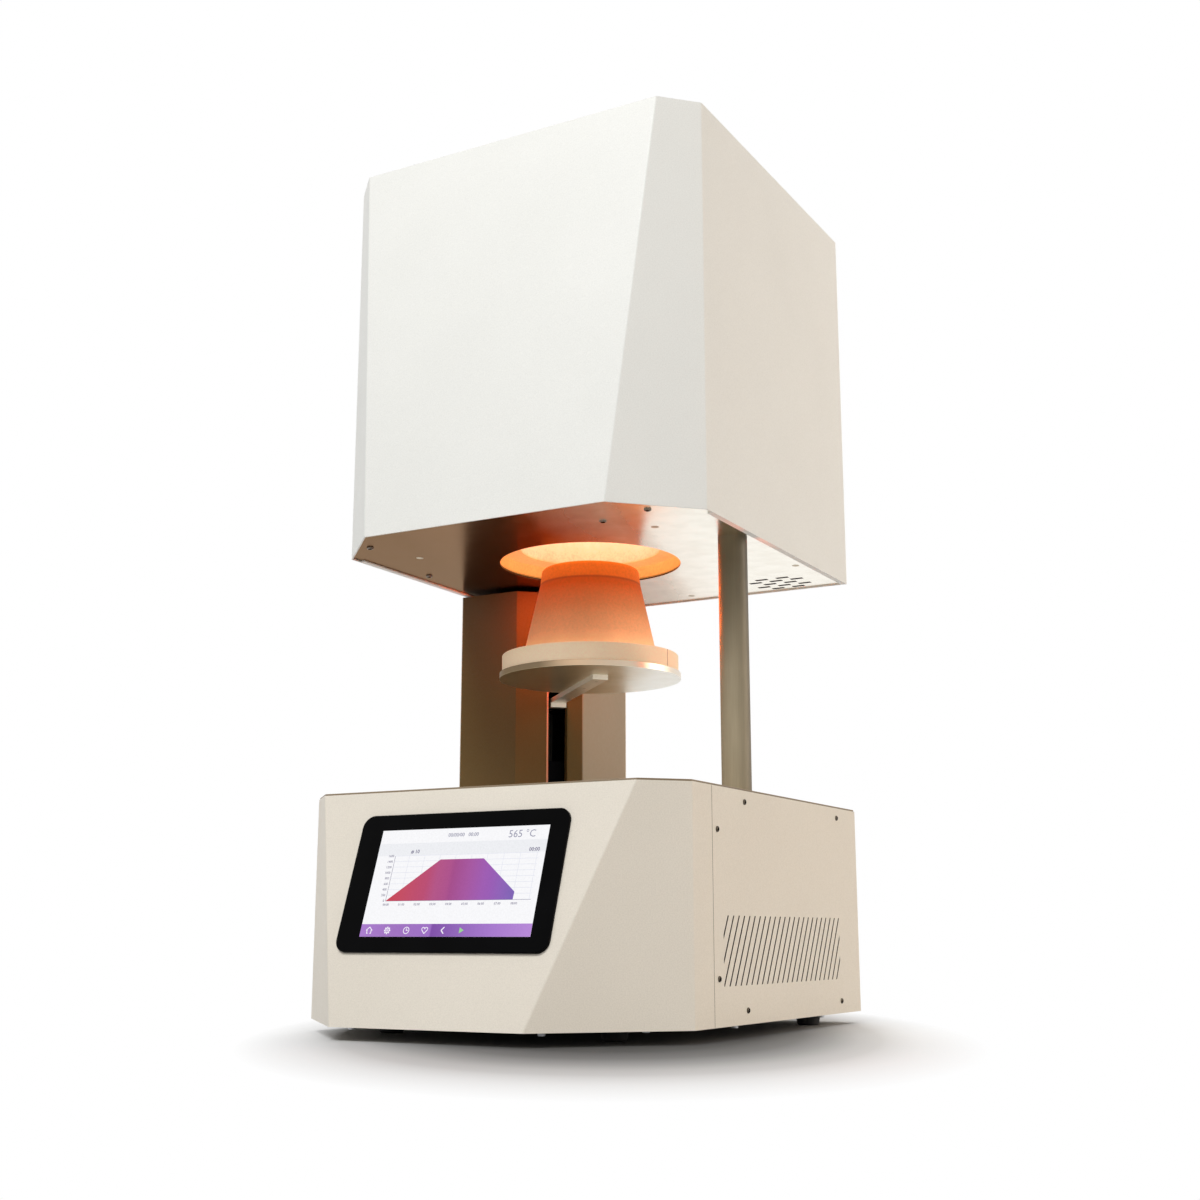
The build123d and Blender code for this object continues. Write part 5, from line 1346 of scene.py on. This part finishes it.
# %% Soft boxes
def softbox(name, place, target, size, power, color):
    """Soft lamp aimed at a point; size in metres, power in watts."""
    lamp = bpy.data.lights.new(name, "AREA")
    lamp.size = size
    lamp.energy = power
    lamp.color = color
    holder = put(name, lamp)
    holder.location = place
    toward = Vector(target) - Vector(place)
    holder.rotation_euler = toward.to_track_quat("-Z", "Y").to_euler()
    return holder


softbox("front_box", (0.0, -2.15, 2.6), (0, 0, 0.45), 1.5, 73, (1.0, 1.0, 1.0))
softbox("right_box", (2.3, 1.25, 0.9), (0, 0, 0.4), 1.6, 29, (1.0, 0.84, 0.68))
softbox("top_box", (-0.3, 1.8, 2.4), (0, 0, 0.2), 1.6, 30, (1.0, 1.0, 0.99))
print("soft boxes: 3")

# %% [markdown]
# ## Ember lamps
# The glowing blocks of the mouth are too small for a clean light of their own. Three small lamps
# carry their glow to the plug, the column and the post. They are hidden from the camera and from
# reflections, because the glowing blocks themselves are seen.

# %% Ember lamps
EMBER = (1.0, 0.20, 0.03)
COLUMN_EMBER = (1.0, 0.10, 0.01)
POST_EMBER = (1.0, 0.14, 0.02)
mouth_place, below_mouth = (mouth_x, mouth_y, 0.4035), (mouth_x, mouth_y, 0.0)
column_place, column_target = (-0.062, 0.064, 0.385), (-0.105, 0.098, 0.365)
post_place, post_target = (0.077, 0.036, 0.37), (0.152, 0.0029, 0.35)
mouth_glow = softbox("mouth_glow", mouth_place, below_mouth, 0.165, 0.12, EMBER)
mouth_glow.data.shape = "DISK"
column_glow = softbox("column_glow", column_place, column_target, 0.03, 0.11, COLUMN_EMBER)
post_glow = softbox("post_glow", post_place, post_target, 0.05, 0.24, POST_EMBER)
post_glow.data.spread = radians(80)
for lamp in (mouth_glow, column_glow, post_glow):
    lamp.visible_camera = False
    lamp.visible_glossy = False
    lamp.visible_transmission = False
print("ember lamps:", mouth_glow.name, column_glow.name, post_glow.name)

# %% [markdown]
# ## Floor
# A pale sheet of paper under the furnace catches its shadow. The paper is shaded a little more in a
# long oval round the base, where the studio's light hardly reaches, and outside the oval it turns
# into pure white for the camera, so that no horizon shows. Other rays see plain paper.

# %% Floor
FLOOR_RADIUS = 6.0
PAPER = gray(0.80)
SHADOW_CENTRE = (0.026, 0.015, 0)
SHADOW_TURN = radians(29.13)
SHADOW_REACH = (0.285, 0.59, 1.0)
SHADOW_STOPS = [
    (0.34, gray(0.19)),
    (0.44, gray(0.235)),
    (0.55, gray(0.42)),
    (0.63, gray(0.585)),
    (0.70, gray(0.72)),
    (0.78, gray(0.80)),
    (0.85, gray(0.84)),
    (1.0, gray(0.86)),
]
shape = bmesh.new()
bmesh.ops.create_circle(shape, cap_ends=True, segments=96, radius=FLOOR_RADIUS)
floor = put("floor", baked("floor", shape))
paper, tree, shader = finish("floor_paper", PAPER, 0.9)
turned = coordinates(tree, turn=(0, 0, -SHADOW_TURN), centre=SHADOW_CENTRE)
oval = tree.nodes.new("ShaderNodeVectorMath")
oval.operation = "DIVIDE"
oval.inputs[1].default_value = SHADOW_REACH
tree.links.new(turned, oval.inputs[0])
distance = tree.nodes.new("ShaderNodeVectorMath")
distance.operation = "LENGTH"
tree.links.new(oval.outputs["Vector"], distance.inputs[0])
away = distance.outputs["Value"]
direct = seen_directly(tree)
shaded = blend(tree, direct, PAPER, ramp(tree, away, SHADOW_STOPS))
tree.links.new(shaded, shader.inputs["Base Color"])
white = tree.nodes.new("ShaderNodeEmission")
white.inputs["Color"].default_value = (1, 1, 1, 1)
mixed = tree.nodes.new("ShaderNodeMixShader")
far = spread(tree, away, 0.75, 1.0)
tree.links.new(reckon(tree, "MULTIPLY", far, direct), mixed.inputs[0])
tree.links.new(shader.outputs[0], mixed.inputs[1])
tree.links.new(white.outputs[0], mixed.inputs[2])
tree.links.new(mixed.outputs[0], tree.nodes["Material Output"].inputs["Surface"])
floor.data.materials.append(paper)
print("floor radius", FLOOR_RADIUS, "m, shadow reach", SHADOW_REACH[:2])
